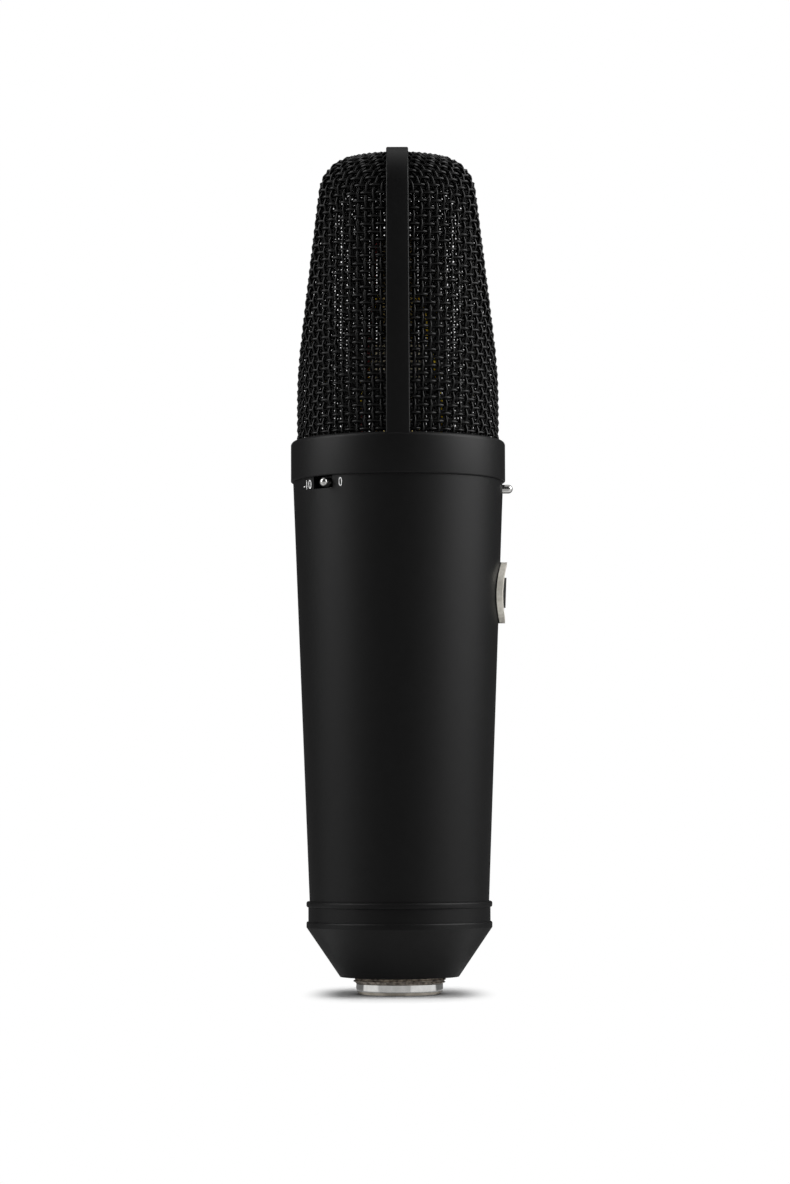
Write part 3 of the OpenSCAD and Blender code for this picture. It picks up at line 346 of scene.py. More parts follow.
def add_piece(name, verts, faces, mats, slot, replaces=(), body=MICROPHONE, smooth=True, places=None):
    """A mesh piece that rides on a body, takes the given finishes and may stand for CAD nodes. Its slot is
    not used.
    """
    mesh = bpy.data.meshes.new(name)
    mesh.from_pydata([tuple(v) for v in verts], [], [tuple(f) for f in faces])
    mesh.update()
    for mat in mats:
        mesh.materials.append(mat)
    if places is not None:
        mesh.polygons.foreach_set("material_index", np.asarray(places, dtype=np.int32))
    mesh.polygons.foreach_set("use_smooth", np.full(len(mesh.polygons), smooth))
    piece = bpy.data.objects.new(name, mesh)
    bpy.context.scene.collection.objects.link(piece)
    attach(piece, body)
    if replaces:
        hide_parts(*replaces)
    return piece


def sharp_by_angle(piece, degrees):
    """Marks the edges that turn by more than an angle as sharp."""
    mesh = bmesh.new()
    mesh.from_mesh(piece.data)
    for edge in mesh.edges:
        if len(edge.link_faces) == 2:
            edge.smooth = edge.calc_face_angle(0) < math.radians(degrees)
    mesh.to_mesh(piece.data)
    mesh.free()


def unit(v):
    """Vectors along the last axis, brought to length 1."""
    return v / np.maximum(np.linalg.norm(v, axis=-1, keepdims=True), 1e-12)


def tubes(centres, outward, radius, sides, closed):
    """Round wires along rows of centres, as vertices and faces. Open wires get end caps."""
    count, length = centres.shape[:2]
    if closed:
        along = np.roll(centres, -1, axis=1) - np.roll(centres, 1, axis=1)
    else:
        along = np.gradient(centres, axis=1)
    along = unit(along)
    aside = unit(np.cross(along, outward))
    outward = np.cross(aside, along)
    angles = TURN * np.arange(sides) / sides
    ring = np.cos(angles)[:, None] * outward[:, :, None, :] + np.sin(angles)[:, None] * aside[:, :, None, :]
    verts = (centres[:, :, None, :] + radius * ring).reshape(-1, 3)
    index = np.arange(count * length * sides).reshape(count, length, sides)
    if closed:
        here, there = index, np.roll(index, -1, axis=1)
    else:
        here, there = index[:, :-1], index[:, 1:]
    quads = np.stack(
        [here, np.roll(here, -1, axis=-1), np.roll(there, -1, axis=-1), there], axis=-1
    ).reshape(-1, 4)
    faces = quads.tolist()
    if not closed:
        faces += index[:, 0, ::-1].tolist()
        faces += index[:, -1].tolist()
    return verts, faces


def turned_form(profile, steps):
    """A closed profile of (radius, height) points turned about Z, as vertices and faces."""
    profile = np.asarray(profile)
    angles = TURN * np.arange(steps) / steps
    verts = np.stack(
        [
            profile[None, :, 0] * np.cos(angles)[:, None],
            profile[None, :, 0] * np.sin(angles)[:, None],
            np.broadcast_to(profile[None, :, 1], (steps, len(profile))),
        ],
        axis=-1,
    ).reshape(-1, 3)
    index = np.arange(steps * len(profile)).reshape(steps, len(profile))
    there = np.roll(index, -1, axis=0)
    faces = np.stack(
        [index, there, np.roll(there, -1, axis=1), np.roll(index, -1, axis=1)], axis=-1
    ).reshape(-1, 4)
    return verts, faces.tolist()


def rounded_section(half_w, half_t, edge_r, steps=4):
    """Points of a rectangle with round edges, around its middle."""
    points = []
    for side_w, side_t, start in ((1, 1, 0), (-1, 1, 1), (-1, -1, 2), (1, -1, 3)):
        for k in range(steps + 1):
            angle = (start + k / steps) * math.pi / 2
            points.append(
                (
                    side_w * (half_w - edge_r) + edge_r * math.cos(angle),
                    side_t * (half_t - edge_r) + edge_r * math.sin(angle),
                )
            )
    return points


# Head


class HeadForm:
    """The wedge of the head as a skin: turns around it, lengths up its side outline, depths below it."""

    lean = math.radians(7.3)
    lean_start = 9 * MM
    bend_r = 130 * MM
    edge_r = 12 * MM
    corner_r = 5 * MM
    shoulder_r = 13 * MM
    ridge_half = 2.6 * MM
    narrowing = 0.4
    pull = 0.28
    pull_soft = 0.04
    probe = 0.2 * MM

    def __init__(self):
        low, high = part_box("outer_mesh")
        self.r, self.z_seat, self.z_top = high[0], low[2], high[2]
        self.z_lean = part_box("collar")[1][2] + self.lean_start
        sin, cos = math.sin(self.lean), math.cos(self.lean)
        self.bend_y = self.r - self.bend_r * (1 - cos)
        self.bend_z = self.z_lean + self.bend_r * sin
        reach = self.bend_y * cos + self.bend_z * sin
        self.z_edge = self.z_top - self.edge_r
        self.edge_y = (reach - self.edge_r - self.z_edge * sin) / cos
        self.z_shoulder = self.z_top - self.shoulder_r
        self.shoulder_y = (reach - self.z_shoulder * sin) / cos
        face_y = self.edge_y + self.edge_r * cos - self.bend_y
        face_z = self.z_edge + self.edge_r * sin - self.bend_z
        self.wall_end = self.z_lean - self.z_seat
        self.bend_end = self.wall_end + self.bend_r * self.lean
        self.face_end = self.bend_end + math.hypot(face_y, face_z)
        self.edge_end = self.face_end + self.edge_r * (math.pi / 2 - self.lean)
        self.length = self.edge_end + self.edge_y - self.ridge_half
        self.pull_start = self.bend_end + (self.z_shoulder - self.bend_z) / cos

    def outline(self, s):
        """Depth, height and lean of the side outline at lengths s."""
        bend = (s - self.wall_end) / self.bend_r
        face = s - self.bend_end
        edge = self.lean + (s - self.face_end) / self.edge_r
        where = [s < self.wall_end, s < self.bend_end, s < self.face_end, s < self.edge_end]
        y = np.select(
            where,
            [
                np.full_like(s, self.r),
                self.r - self.bend_r * (1 - np.cos(bend)),
                self.bend_y - face * math.sin(self.lean),
                self.edge_y + self.edge_r * np.cos(edge),
            ],
            self.edge_y - (s - self.edge_end),
        )
        z = np.select(
            where,
            [
                self.z_seat + s,
                self.z_lean + self.bend_r * np.sin(bend),
                self.bend_z + face * math.cos(self.lean),
                self.z_edge + self.edge_r * np.sin(edge),
            ],
            self.z_top,
        )
        lean = np.select(where, [np.zeros_like(s), bend, np.full_like(s, self.lean), edge], math.pi / 2)
        return y, z, lean

    def half_width(self, z, depth):
        """Half width across X at heights z, below the skin by depth."""
        up = np.maximum(z - self.z_shoulder, 0)
        return self.r - self.shoulder_r + np.sqrt(np.maximum((self.shoulder_r - depth) ** 2 - up**2, 0))

    @staticmethod
    def flatted(turn, level, corner):
        """Points of a unit circle with flats at +-level and round corners, even in each quarter."""
        quarter = np.floor(turn).astype(int) % 4
        part = turn - np.floor(turn)
        part = np.where(quarter % 2 == 0, part, 1 - part)
        arc = np.arcsin(np.clip((level - corner) / (1 - corner), -1, 1))
        x = (1 - corner) * np.cos(arc)
        bend = corner * (math.pi / 2 - arc)
        s = part * (arc + bend + x)
        angle = arc + (s - arc) / corner
        where = [s < arc, s < arc + bend]
        px = np.select(where, [np.cos(s), x + corner * np.cos(angle)], x - (s - arc - bend))
        py = np.select(where, [np.sin(s), level - corner + corner * np.sin(angle)], level)
        return np.where((quarter == 0) | (quarter == 3), px, -px), np.where(quarter < 2, py, -py)

    def drawn(self, turn, s):
        """Turns of the wires at lengths s, drawn in below the strap as they run over the shoulders."""
        quarter = np.floor(turn)
        part = np.where(quarter % 2 == 0, turn - quarter, 1 - (turn - quarter))
        share = np.clip((s - self.pull_start) / (self.edge_end - self.pull_start), 0, 1)
        share = share * share * (3 - 2 * share)
        part = part - self.pull * share * np.cos(math.pi / 2 * part) ** 2
        part = np.clip((part + np.sqrt(part**2 + (self.pull_soft * share) ** 2)) / 2, 0, 1)
        return quarter + np.where(quarter % 2 == 0, part, 1 - part)

    def points(self, turn, s, depth):
        """Points at turns of 4 around the head, lengths s up its outline and depths below its skin."""
        turn, s, depth = np.broadcast_arrays(turn, s, depth)
        y0, z0, lean = self.outline(s)
        y = y0 - depth * np.cos(lean)
        z = z0 - depth * np.sin(lean)
        narrow = np.where(s > self.edge_end, 1 - self.narrowing * (1 - y0 / self.edge_y), 1)
        level = np.minimum(1, np.where(z0 < self.z_shoulder, y, self.shoulder_y - depth) / (self.r - depth))
        corner = (self.corner_r - depth) / (self.r - depth)
        px, py = self.flatted(np.mod(self.drawn(turn, s), 4), level, corner)
        return np.stack([narrow * self.half_width(z, depth) * px, y / level * py, z], axis=-1)

    def wires(self, turn, s, depth):
        """Centres of wires on the skin, and the way out of the head there."""
        centres = self.points(turn, s, depth)
        return centres, unit(centres - self.points(turn, s, np.asarray(depth) + self.probe))


def weave(form, depth, wire_d, uprights, pitch, start, samples, sides, crimp_share=0.92):
    """A plain weave below the head's skin: vertices and faces of its uprights and of its hoops."""
    r = wire_d / 2
    crimp = crimp_share * r
    rows = int((form.length - start) / pitch)
    s = start + pitch * np.linspace(0, rows, rows * samples + 1)[None, :]
    turn = 4 * np.arange(uprights)[:, None] / uprights
    phase = math.pi * ((s - start) / pitch + np.arange(uprights)[:, None])
    upright = tubes(*form.wires(turn, s, depth + r + crimp * (1 + np.cos(phase))), r, sides, closed=False)
    turn = 4 * np.arange(uprights * samples)[None, :] / (uprights * samples)
    s = start + pitch * np.arange(rows + 1)[:, None]
    phase = math.pi * (turn * uprights / 4 + np.arange(rows + 1)[:, None])
    hoop = tubes(*form.wires(turn, s, depth + r + crimp * (1 - np.cos(phase))), r, sides, closed=True)
    return upright, hoop


class MICROPHONE_OT_outer_mesh(bpy.types.Operator):
    """Weaves the coarse outer mesh of the head from round wires"""

    bl_idname = "microphone.outer_mesh"
    bl_label = "Outer mesh"
    first_hoop = 0.6 * MM

    def execute(self, context):
        sizes = context.scene.microphone_head
        wire = blackened_wire("black_wire", context.scene.microphone_colours.wire, 0.25)
        upright, hoop = weave(
            HeadForm(),
            depth=0,
            wire_d=sizes.wire_d,
            uprights=sizes.uprights,
            pitch=sizes.hoop_pitch,
            start=self.first_hoop,
            samples=3,
            sides=6,
        )
        add_piece("outer_mesh_uprights", *upright, [wire], "black_wire", ["outer_mesh"])
        add_piece("outer_mesh_hoops", *hoop, [wire], "black_wire", ["outer_mesh"])
        return {"FINISHED"}


class MICROPHONE_OT_fine_mesh(bpy.types.Operator):
    """Weaves the fine mesh that lies behind the outer one"""

    bl_idname = "microphone.fine_mesh"
    bl_label = "Fine mesh"
    paler = 5

    def execute(self, context):
        sizes = context.scene.microphone_head
        form = HeadForm()
        low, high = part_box("inner_mesh")
        wire = blackened_wire("fine_wire", shade(context.scene.microphone_colours.wire, self.paler), 0.5)
        upright, hoop = weave(
            form,
            depth=form.r - high[0],
            wire_d=sizes.fine_wire_d,
            uprights=sizes.fine_uprights,
            pitch=sizes.fine_pitch,
            start=low[2] - form.z_seat + sizes.fine_wire_d,
            samples=1,
            sides=4,
        )
        add_piece("inner_mesh_uprights", *upright, [wire], "fine_wire", ["inner_mesh"])
        add_piece("inner_mesh_hoops", *hoop, [wire], "fine_wire", ["inner_mesh"])
        return {"FINISHED"}


class MICROPHONE_OT_strap(bpy.types.Operator):
    """Bends the strap over the head, with round edges and a slight taper"""

    bl_idname = "microphone.strap"
    bl_label = "Head strap"
    top_w = 5.9 * MM
    thickness = 1.0 * MM
    clearance = 0.05 * MM
    side_steps = 24
    bend_steps = 24
    top_steps = 8

    def execute(self, context):
        low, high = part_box("head_strap")
        half = self.thickness / 2
        shoulder = HeadForm.shoulder_r + self.clearance + half
        reach, top = high[0] - half, high[2] - half
        path = [((reach, z), (1, 0)) for z in np.linspace(low[2], top - shoulder, self.side_steps)]
        for k in range(1, self.bend_steps):
            a = k / self.bend_steps * math.pi / 2
            path.append(
                (
                    (reach - shoulder * (1 - math.cos(a)), top - shoulder * (1 - math.sin(a))),
                    (math.cos(a), math.sin(a)),
                )
            )
        path += [((x, top), (0, 1)) for x in np.linspace(reach - shoulder, 0, self.top_steps)]
        path += [((-x, z), (-out, up)) for (x, z), (out, up) in path[-2::-1]]
        verts, loops = [], []
        for (x, z), (out, up) in path:
            width = high[1] + (self.top_w / 2 - high[1]) * (z - low[2]) / (high[2] - low[2])
            loop = []
            for across, through in rounded_section(width, half, context.scene.microphone_head.strap_edge_r):
                loop.append(len(verts))
                verts.append((x + out * through, across, z + up * through))
            loops.append(loop)
        count = len(loops[0])
        faces = [
            (a[k], a[(k + 1) % count], b[(k + 1) % count], b[k])
            for a, b in zip(loops, loops[1:])
            for k in range(count)
        ]
        faces += [tuple(reversed(loops[0])), tuple(loops[-1])]
        enamel = black_enamel("strap_enamel", tuple(context.scene.microphone_colours.enamel), specular=0.19)
        strap = add_piece("strap_band", verts, faces, [enamel], "black_enamel", ["head_strap"])
        sharp_by_angle(strap, degrees=50)
        return {"FINISHED"}


# Body


def sleeve_cone():
    """Radius of the sleeve's cone when it is carried down to the floor, and its growth with the height."""
    low, top = (corner[2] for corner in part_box("sleeve"))
    taper = (SLEEVE_TOP_R - SLEEVE_LOW_R) / (top - low)
    return SLEEVE_LOW_R - taper * low, taper


def dress(node, mat):
    """Gives a CAD node its finish and shades its curves smoothly between its sharp edges."""
    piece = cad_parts[node]
    piece.data.materials.clear()
    piece.data.materials.append(mat)
    piece.data.polygons.foreach_set("use_smooth", np.ones(len(piece.data.polygons), dtype=bool))
    weld = piece.modifiers.new("join_faces", "WELD")
    weld.merge_threshold = WELD_GAP
    edges = piece.modifiers.new("keep_edges", "EDGE_SPLIT")
    edges.split_angle = SHARP_ANGLE


class MICROPHONE_OT_shells(bpy.types.Operator):
    """Enamels the sleeve, the collar and the bell"""

    bl_idname = "microphone.shells"
    bl_label = "Enamelled shells"

    def execute(self, context):
        enamel = black_enamel("black_enamel", tuple(context.scene.microphone_colours.enamel), specular=0.2)
        for node in ("sleeve", "collar", "base_bell"):
            dress(node, enamel)
        return {"FINISHED"}


class MICROPHONE_OT_boss(bpy.types.Operator):
    """Turns the plated boss and cuts its thread"""

    bl_idname = "microphone.boss"
    bl_label = "Threaded boss"
    steps = 160
    rows = 44
    soft = 0.12 * MM
    loop_gap = 0.036 * MM
    pilot_r = 11.7 * MM
    pilot_top = 2.9 * MM
    rim_r = 10.6 * MM
    rim_drop = 0.05 * MM
    bevel_h = 0.85 * MM
    socket_r = 9.6 * MM
    socket_depth = 14.5 * MM
    counterbore_r = 10.65 * MM
    thread_top = 4.7 * MM
    thread_r = 12.5 * MM
    thread_runout = 0.05 * MM
    lead_in_h = 0.35 * MM
    crest = 0.1
    flank = 1.25
    neck_r = 12.1 * MM
    flange_t = 2.5 * MM
    plated, worn, rubbed = range(3)

    def below_thread(self):
        """Profile from the socket around the rim and up the pilot, with loops that keep its shading flat."""
        soft, foot, top = self.soft, self.bevel_h + self.soft, self.pilot_top - self.soft
        return [
            (self.socket_r, self.socket_depth),
            (self.socket_r, soft),
            (self.socket_r + soft, 0),
            (self.rim_r - soft, 0),
            (self.rim_r, self.rim_drop),
            (self.pilot_r - soft / 2, self.bevel_h - soft / 2),
            (self.pilot_r, foot),
            (self.pilot_r, foot + self.loop_gap),
            (self.pilot_r, top - self.loop_gap),
            (self.pilot_r, top),
            (self.pilot_r - soft, self.pilot_top),
        ]

    def above_thread(self):
        """Profile from the neck around the flange to the socket."""
        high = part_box("threaded_boss")[1]
        flange_r, top = high[0], high[2]
        return [
            (self.neck_r, self.thread_top + self.thread_runout),
            (self.neck_r, top - self.flange_t),
            (flange_r, top - self.flange_t),
            (flange_r, top),
            (self.counterbore_r, top),
            (self.counterbore_r, self.socket_depth),
        ]

    def thread_radius(self, sizes, turn, z):
        """Radius of the thread at turns around the boss and heights z."""
        up = z - self.pilot_top
        wave = np.abs((up / sizes.thread_pitch - turn) % 1 - 0.5) * 2
        cut = np.clip(self.flank * wave - self.crest, 0, 1) * sizes.thread_depth
        start_r = self.pilot_r - self.thread_runout
        return start_r + (self.thread_r - cut - start_r) * np.clip(up / self.lead_in_h, 0, 1)

    def execute(self, context):
        below, above = self.below_thread(), self.above_thread()
        thread = [(self.thread_r, z) for z in np.linspace(self.pilot_top, self.thread_top, self.rows)]
        profile = below + thread + above
        verts, faces = turned_form(profile, self.steps)
        verts = verts.reshape(self.steps, -1, 3)
        rows = slice(len(below), len(below) + self.rows)
        turn = np.arange(self.steps)[:, None] / self.steps
        radius = self.thread_radius(context.scene.microphone_boss, turn, verts[:, rows, 2])
        verts[:, rows, 0] = radius * np.cos(TURN * turn)
        verts[:, rows, 1] = radius * np.sin(TURN * turn)
        places = [self.plated] * len(profile)
        # The bevel under the pilot gets a lighter, warmer plating: wear patches, and a painted highlight
        # where it faces the shadowed floor.
        places[below.index((self.rim_r, self.rim_drop))] = self.rubbed
        places[len(below) - 1 : rows.stop] = [self.worn] * (self.rows + 1)
        nickel = tuple(context.scene.microphone_colours.nickel)
        finishes = [
            turned_metal("nickel", nickel, 0.05, depth=0.0002 * MM),
            aged_metal("worn_thread", (0.58, 0.52, 0.45), (0.2, 0.17, 0.15), 0.4),
            aged_metal("rubbed_edge", (0.86, 0.79, 0.68), (0.74, 0.67, 0.57), 0.45),
        ]
        boss = add_piece(
            "boss_thread",
            verts.reshape(-1, 3),
            faces,
            finishes,
            "nickel",
            ["threaded_boss"],
            places=places * self.steps,
        )
        sharp_by_angle(boss, degrees=35)
        return {"FINISHED"}


class MICROPHONE_OT_connector(bpy.types.Operator):
    """Finishes the connector's insert and pins"""

    bl_idname = "microphone.connector"
    bl_label = "Connector"

    def execute(self, context):
        dress("connector_insert", moulded("black_plastic", (0.012, 0.012, 0.013), 0.5))
        dress("connector_pins", turned_metal("contact_gold", (0.78, 0.57, 0.22), 0.22))
        return {"FINISHED"}


class MICROPHONE_OT_badge(bpy.types.Operator):
    """Finishes the bare badge and its button"""

    bl_idname = "microphone.badge"
    bl_label = "Badge"
    seam = 0.26 * MM

    def execute(self, context):
        nickel = aged_metal("aged_nickel", (0.76, 0.73, 0.66), (0.66, 0.63, 0.56), 0.5, metallic=0.7)
        floor_r, taper = sleeve_cone()
        # The dark band on the badge's foot, where it meets the sleeve, is a painted shadow.
        painted_foot_shadow(nickel, floor_r + self.seam, taper)
        dress("badge_dish", nickel)
        dress("badge_button", bpy.data.materials["black_plastic"])
        return {"FINISHED"}


class MICROPHONE_OT_switches(bpy.types.Operator):
    """Finishes the levers and their housings"""

    bl_idname = "microphone.switches"
    bl_label = "Switches"
    slider_r = 26 * MM
    darker = 0.8

    def execute(self, context):
        plating = shade(context.scene.microphone_colours.nickel, self.darker)
        bright = turned_metal("bright_nickel", plating, 0.16, stretch=(900, 900, 900))
        plated_outside(bright, plating, self.slider_r)
        for switch in ("pattern", "pad", "low_cut"):
            dress(switch + "_lever", bright)
            dress(switch + "_housing", bpy.data.materials["black_plastic"])
        return {"FINISHED"}


class MICROPHONE_OT_marks(bpy.types.Operator):
    """Prints the figures beside the pad switch on the sleeve"""

    bl_idname = "microphone.marks"
    bl_label = "Pad figures"
    figure_h = 2.4 * MM
    figure_share = 0.7
    print_t = 0.03 * MM
    pad_turn = math.radians(135)
    # Piece, text, degrees from the pad switch and share of the full width
    figures = (("pad_mark_zero", "0", 12.4, 0.7), ("pad_mark_ten", "-10", -13.6, 0.95))

    def execute(self, context):
        mat = moulded("mark_white", tuple(context.scene.microphone_colours.marks), 0.6)
        lever_low, lever_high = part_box("pad_lever")
        z_mid = (lever_low[2] + lever_high[2]) / 2
        floor_r, taper = sleeve_cone()
        for name, figure, degrees, narrow in self.figures:
            curve = bpy.data.curves.new(name + "_outline", "FONT")
            curve.body = figure
            curve.size = self.figure_h / self.figure_share
            curve.resolution_u = 6
            text = bpy.data.objects.new(name + "_outline", curve)
            context.scene.collection.objects.link(text)
            flat = text.evaluated_get(context.evaluated_depsgraph_get()).to_mesh()
            verts = np.array([v.co for v in flat.vertices])
            faces = [tuple(p.vertices) for p in flat.polygons]
            bpy.data.objects.remove(text)
            middle = (verts.min(axis=0) + verts.max(axis=0)) / 2
            flat_x, flat_z = (verts - middle)[:, 0], (verts - middle)[:, 1]
            z = z_mid + flat_z
            r = floor_r + taper * z + self.print_t
            angle = self.pad_turn + math.radians(degrees) + narrow * flat_x / r
            printed = np.stack([r * np.cos(angle), r * np.sin(angle), z], axis=-1)
            add_piece(name, printed, faces, [mat], "black_enamel")
        return {"FINISHED"}


# Inside


class MICROPHONE_OT_capsule(bpy.types.Operator):
    """Finishes the capsule, its saddle and its post"""

    bl_idname = "microphone.capsule"
    bl_label = "Capsule"

    def execute(self, context):
        brass = turned_metal("capsule_brass", (0.62, 0.47, 0.2), 0.28, stretch=(400, 9000, 400))
        gold = turned_metal("diaphragm_gold", (0.85, 0.66, 0.3), 0.16, stretch=(300, 300, 300))
        cream = moulded("cream_plastic", (0.84, 0.76, 0.56), 0.4)
        for node in ("front_backplate", "rear_backplate", "front_clamp_ring", "rear_clamp_ring"):
            dress(node, brass)
        for node in ("clamp_screws", "centre_terminals", "post_foot"):
            dress(node, brass)
        for node in ("front_diaphragm", "rear_diaphragm"):
            dress(node, gold)
        dress("capsule_saddle", cream)
        dress("backplate_gasket", cream)
        dress("capsule_post", bpy.data.materials["black_plastic"])
        return {"FINISHED"}


def smooth_path(knots, steps):
    """Points in metres of a smooth curve through knots in millimetres."""
    knots = np.asarray(knots) * MM
    ends = np.concatenate([knots[:1], knots, knots[-1:]])
    points = []
    for a, b, c, d in zip(ends, ends[1:], ends[2:], ends[3:]):
        for k in range(steps):
            t = k / steps
            points.append(
                b
                + t / 2 * (c - a)
                + t * t / 2 * (2 * a - 5 * b + 4 * c - d)
                + t**3 / 2 * (3 * b - a - 3 * c + d)
            )
    return np.array([*points, knots[-1]])


class MICROPHONE_OT_leads(bpy.types.Operator):
    """Draws the capsule's leads as round insulated wires"""

    bl_idname = "microphone.leads"
    bl_label = "Capsule leads"
    lead_r = 0.5 * MM
    lead_sides = 10
    knot_steps = 10
    routes = {
        "front_lead": [
            (0, -4.75, 189), (0, -5.95, 189), (0.6, -7.35, 185), (1.2, -8.35, 178),
            (1.6, -10.15, 170), (2, -11.95, 159), (2, -12.15, 146.3), (2, -12.15, 142.3),
        ],
        "rear_lead": [
            (0, 4.75, 189), (0, 5.75, 189), (0.6, 6.75, 185), (1.2, 7.15, 178),
            (1.6, 7.75, 170), (2, 10.35, 159), (2, 11.35, 146.3), (2, 11.35, 142.3),
        ],
        "backplate_lead": [
            (-8.5, 4.4, 202.26), (-8.5, 5.4, 202.26), (-8.5, 6.2, 196.65), (-8.5, 6.6, 187),
            (-8.5, 7.8, 172), (-8.5, 9.2, 160), (-8.5, 9.8, 146.3), (-8.5, 9.8, 142.3),
        ],
    }

    def execute(self, context):
        yellow = moulded("yellow_lead", (0.95, 0.68, 0.025), 0.55)
        red = moulded("red_lead", (0.17, 0.015, 0.014), 0.5)
        for node, knots in self.routes.items():
            path = smooth_path(knots, self.knot_steps)[None]
            outward = np.broadcast_to(np.array([1.0, 0.0, 0.0]), path.shape)
            is_red = node == "backplate_lead"
            verts, faces = tubes(path, outward, self.lead_r, self.lead_sides, closed=False)
            slot = "red_lead" if is_red else "yellow_lead"
            add_piece(node + "_wire", verts, faces, [red if is_red else yellow], slot, [node])
        return {"FINISHED"}


class MICROPHONE_OT_chassis(bpy.types.Operator):
    """Finishes the parts inside the sleeve"""

    bl_idname = "microphone.chassis"
    bl_label = "Chassis"

    def execute(self, context):
        aluminium = turned_metal("bare_aluminium", (0.72, 0.73, 0.74), 0.36, stretch=(9000, 9000, 40))
        steel = turned_metal("plated_steel", (0.55, 0.55, 0.56), 0.3, stretch=(600, 600, 600))
        board = laminate("green_board", (0.035, 0.13, 0.065), (0.025, 0.1, 0.05))
        copper = wound_copper()
        finishes = {
            "left_rail": aluminium,
            "right_rail": aluminium,
            "base_plate": aluminium,
            "head_plate": aluminium,
            "switch_board": board,
            "amplifier_board": board,
            "converter_board": board,
            "film_capacitors": moulded("film_case", (0.46, 0.06, 0.02), 0.35),
            "electrolytic_capacitors": moulded("capacitor_sleeve", (0.02, 0.03, 0.08), 0.3),
            "transistors": turned_metal("metal_can", (0.62, 0.62, 0.63), 0.3),
            "transformer_core": aged_metal("core_steel", (0.3, 0.3, 0.31), (0.16, 0.16, 0.17), 0.5),
            "transformer_winding": copper,
            "converter_coil": copper,
            "transformer_bracket": steel,
            "head_screws": steel,
            "rail_screws": steel,
            "board_screws": steel,
            "boss_screws": steel,
        }
        for node, mat in finishes.items():
            dress(node, mat)
        return {"FINISHED"}


# Stage


def add_softbox(name, place, target, width, height, power):
    """A plain area lamp that faces a point."""
    lamp = bpy.data.lights.new(name, "AREA")
    lamp.shape = "RECTANGLE"
    lamp.size, lamp.size_y = width, height
    lamp.energy = power
    softbox = bpy.data.objects.new(name, lamp)
    softbox.location = place
    way = Vector(target) - Vector(place)
    softbox.rotation_euler = way.to_track_quat("-Z", "Y").to_euler()
    bpy.context.scene.collection.objects.link(softbox)


def ray_kinds(tree):
    """Whether a ray comes from the camera, and whether from a reflection or through glass."""
    path = tree.nodes.new("ShaderNodeLightPath").outputs
    bounced = math_step(tree, "MAXIMUM", path["Is Glossy Ray"], path["Is Transmission Ray"])
    return path["Is Camera Ray"], bounced


def mix_surface(tree, output, share, plain, white):
    """Shows white instead of the plain surface by a share."""
    mix = tree.nodes.new("ShaderNodeMixShader")
    for socket, source in zip(mix.inputs, (share, plain, white)):
        tree.links.new(source, socket)
    tree.links.new(mix.outputs["Shader"], tree.nodes[output].inputs["Surface"])


def pale_world():
    """A dim room that shows as white, to reflections only on its far side behind the microphone."""
    room_light = 0.055
    far_start, far_end = 0.97, 0.999
    world = bpy.data.worlds.new("pale_room")
    world.use_nodes = True
    tree = world.node_tree
    room = tree.nodes["Background"]
    white = tree.nodes.new("ShaderNodeBackground")
    for background, strength in ((room, room_light), (white, 1.0)):
        background.inputs["Color"].default_value = (1, 1, 1, 1)
        background.inputs["Strength"].default_value = strength
    way = parted(tree, tree.nodes.new("ShaderNodeTexCoord").outputs["Generated"])
    from_camera, bounced = ray_kinds(tree)
    seen_behind = math_step(tree, "MULTIPLY", bounced, graded(tree, way["X"], far_start, far_end))
    shown = math_step(tree, "MAXIMUM", from_camera, seen_behind)
    mix_surface(tree, "World Output", shown, room.outputs["Background"], white.outputs["Background"])
    return world


def beyond_shadow(tree, place):
    """Where the floor lies beyond the shadow, which is drawn out along X."""
    squeeze = (0.34, 1, 1)
    shadow_in, shadow_out = 15 * MM, 27 * MM
    reach = vector_step(tree, "LENGTH", vector_step(tree, "MULTIPLY", place, squeeze))
    return graded(tree, reach, shadow_in, shadow_out, smooth=True)


def mirrored_share(tree, place):
    """How far reflections show white: fully beyond the microphone's foot, and a little close under it."""
    outside_in, outside_out = 27 * MM, 35 * MM
    under_in, under_out, under_share = 13.5 * MM, 16.5 * MM, 0.26
    reach = vector_step(tree, "LENGTH", place)
    outside = graded(tree, reach, outside_in, outside_out)
    under = graded(tree, reach, under_out, under_in, high=under_share)
    return math_step(tree, "MAXIMUM", outside, under)


def fan(tree, heading, way, start, end, level):
    """1 outside a fan on the floor, and a lower level inside it."""
    along = vector_step(tree, "DOT_PRODUCT", heading, way)
    return graded(tree, along, start, end, low=1.0, high=level)


def mirrored_level(tree, place):
    """How bright that white is: grey in a fan before the microphone, and dark in a fan behind it."""
    fan_shift = (8 * MM, 0, 0)
    heading = vector_step(tree, "NORMALIZE", vector_step(tree, "ADD", place, fan_shift))
    before = fan(tree, heading, way=(-0.968, 0.25, 0), start=0.67, end=0.73, level=0.62)
    behind = fan(tree, heading, way=(1, 0, 0), start=0.28, end=0.38, level=0.2)
    return math_step(tree, "MULTIPLY", before, behind)


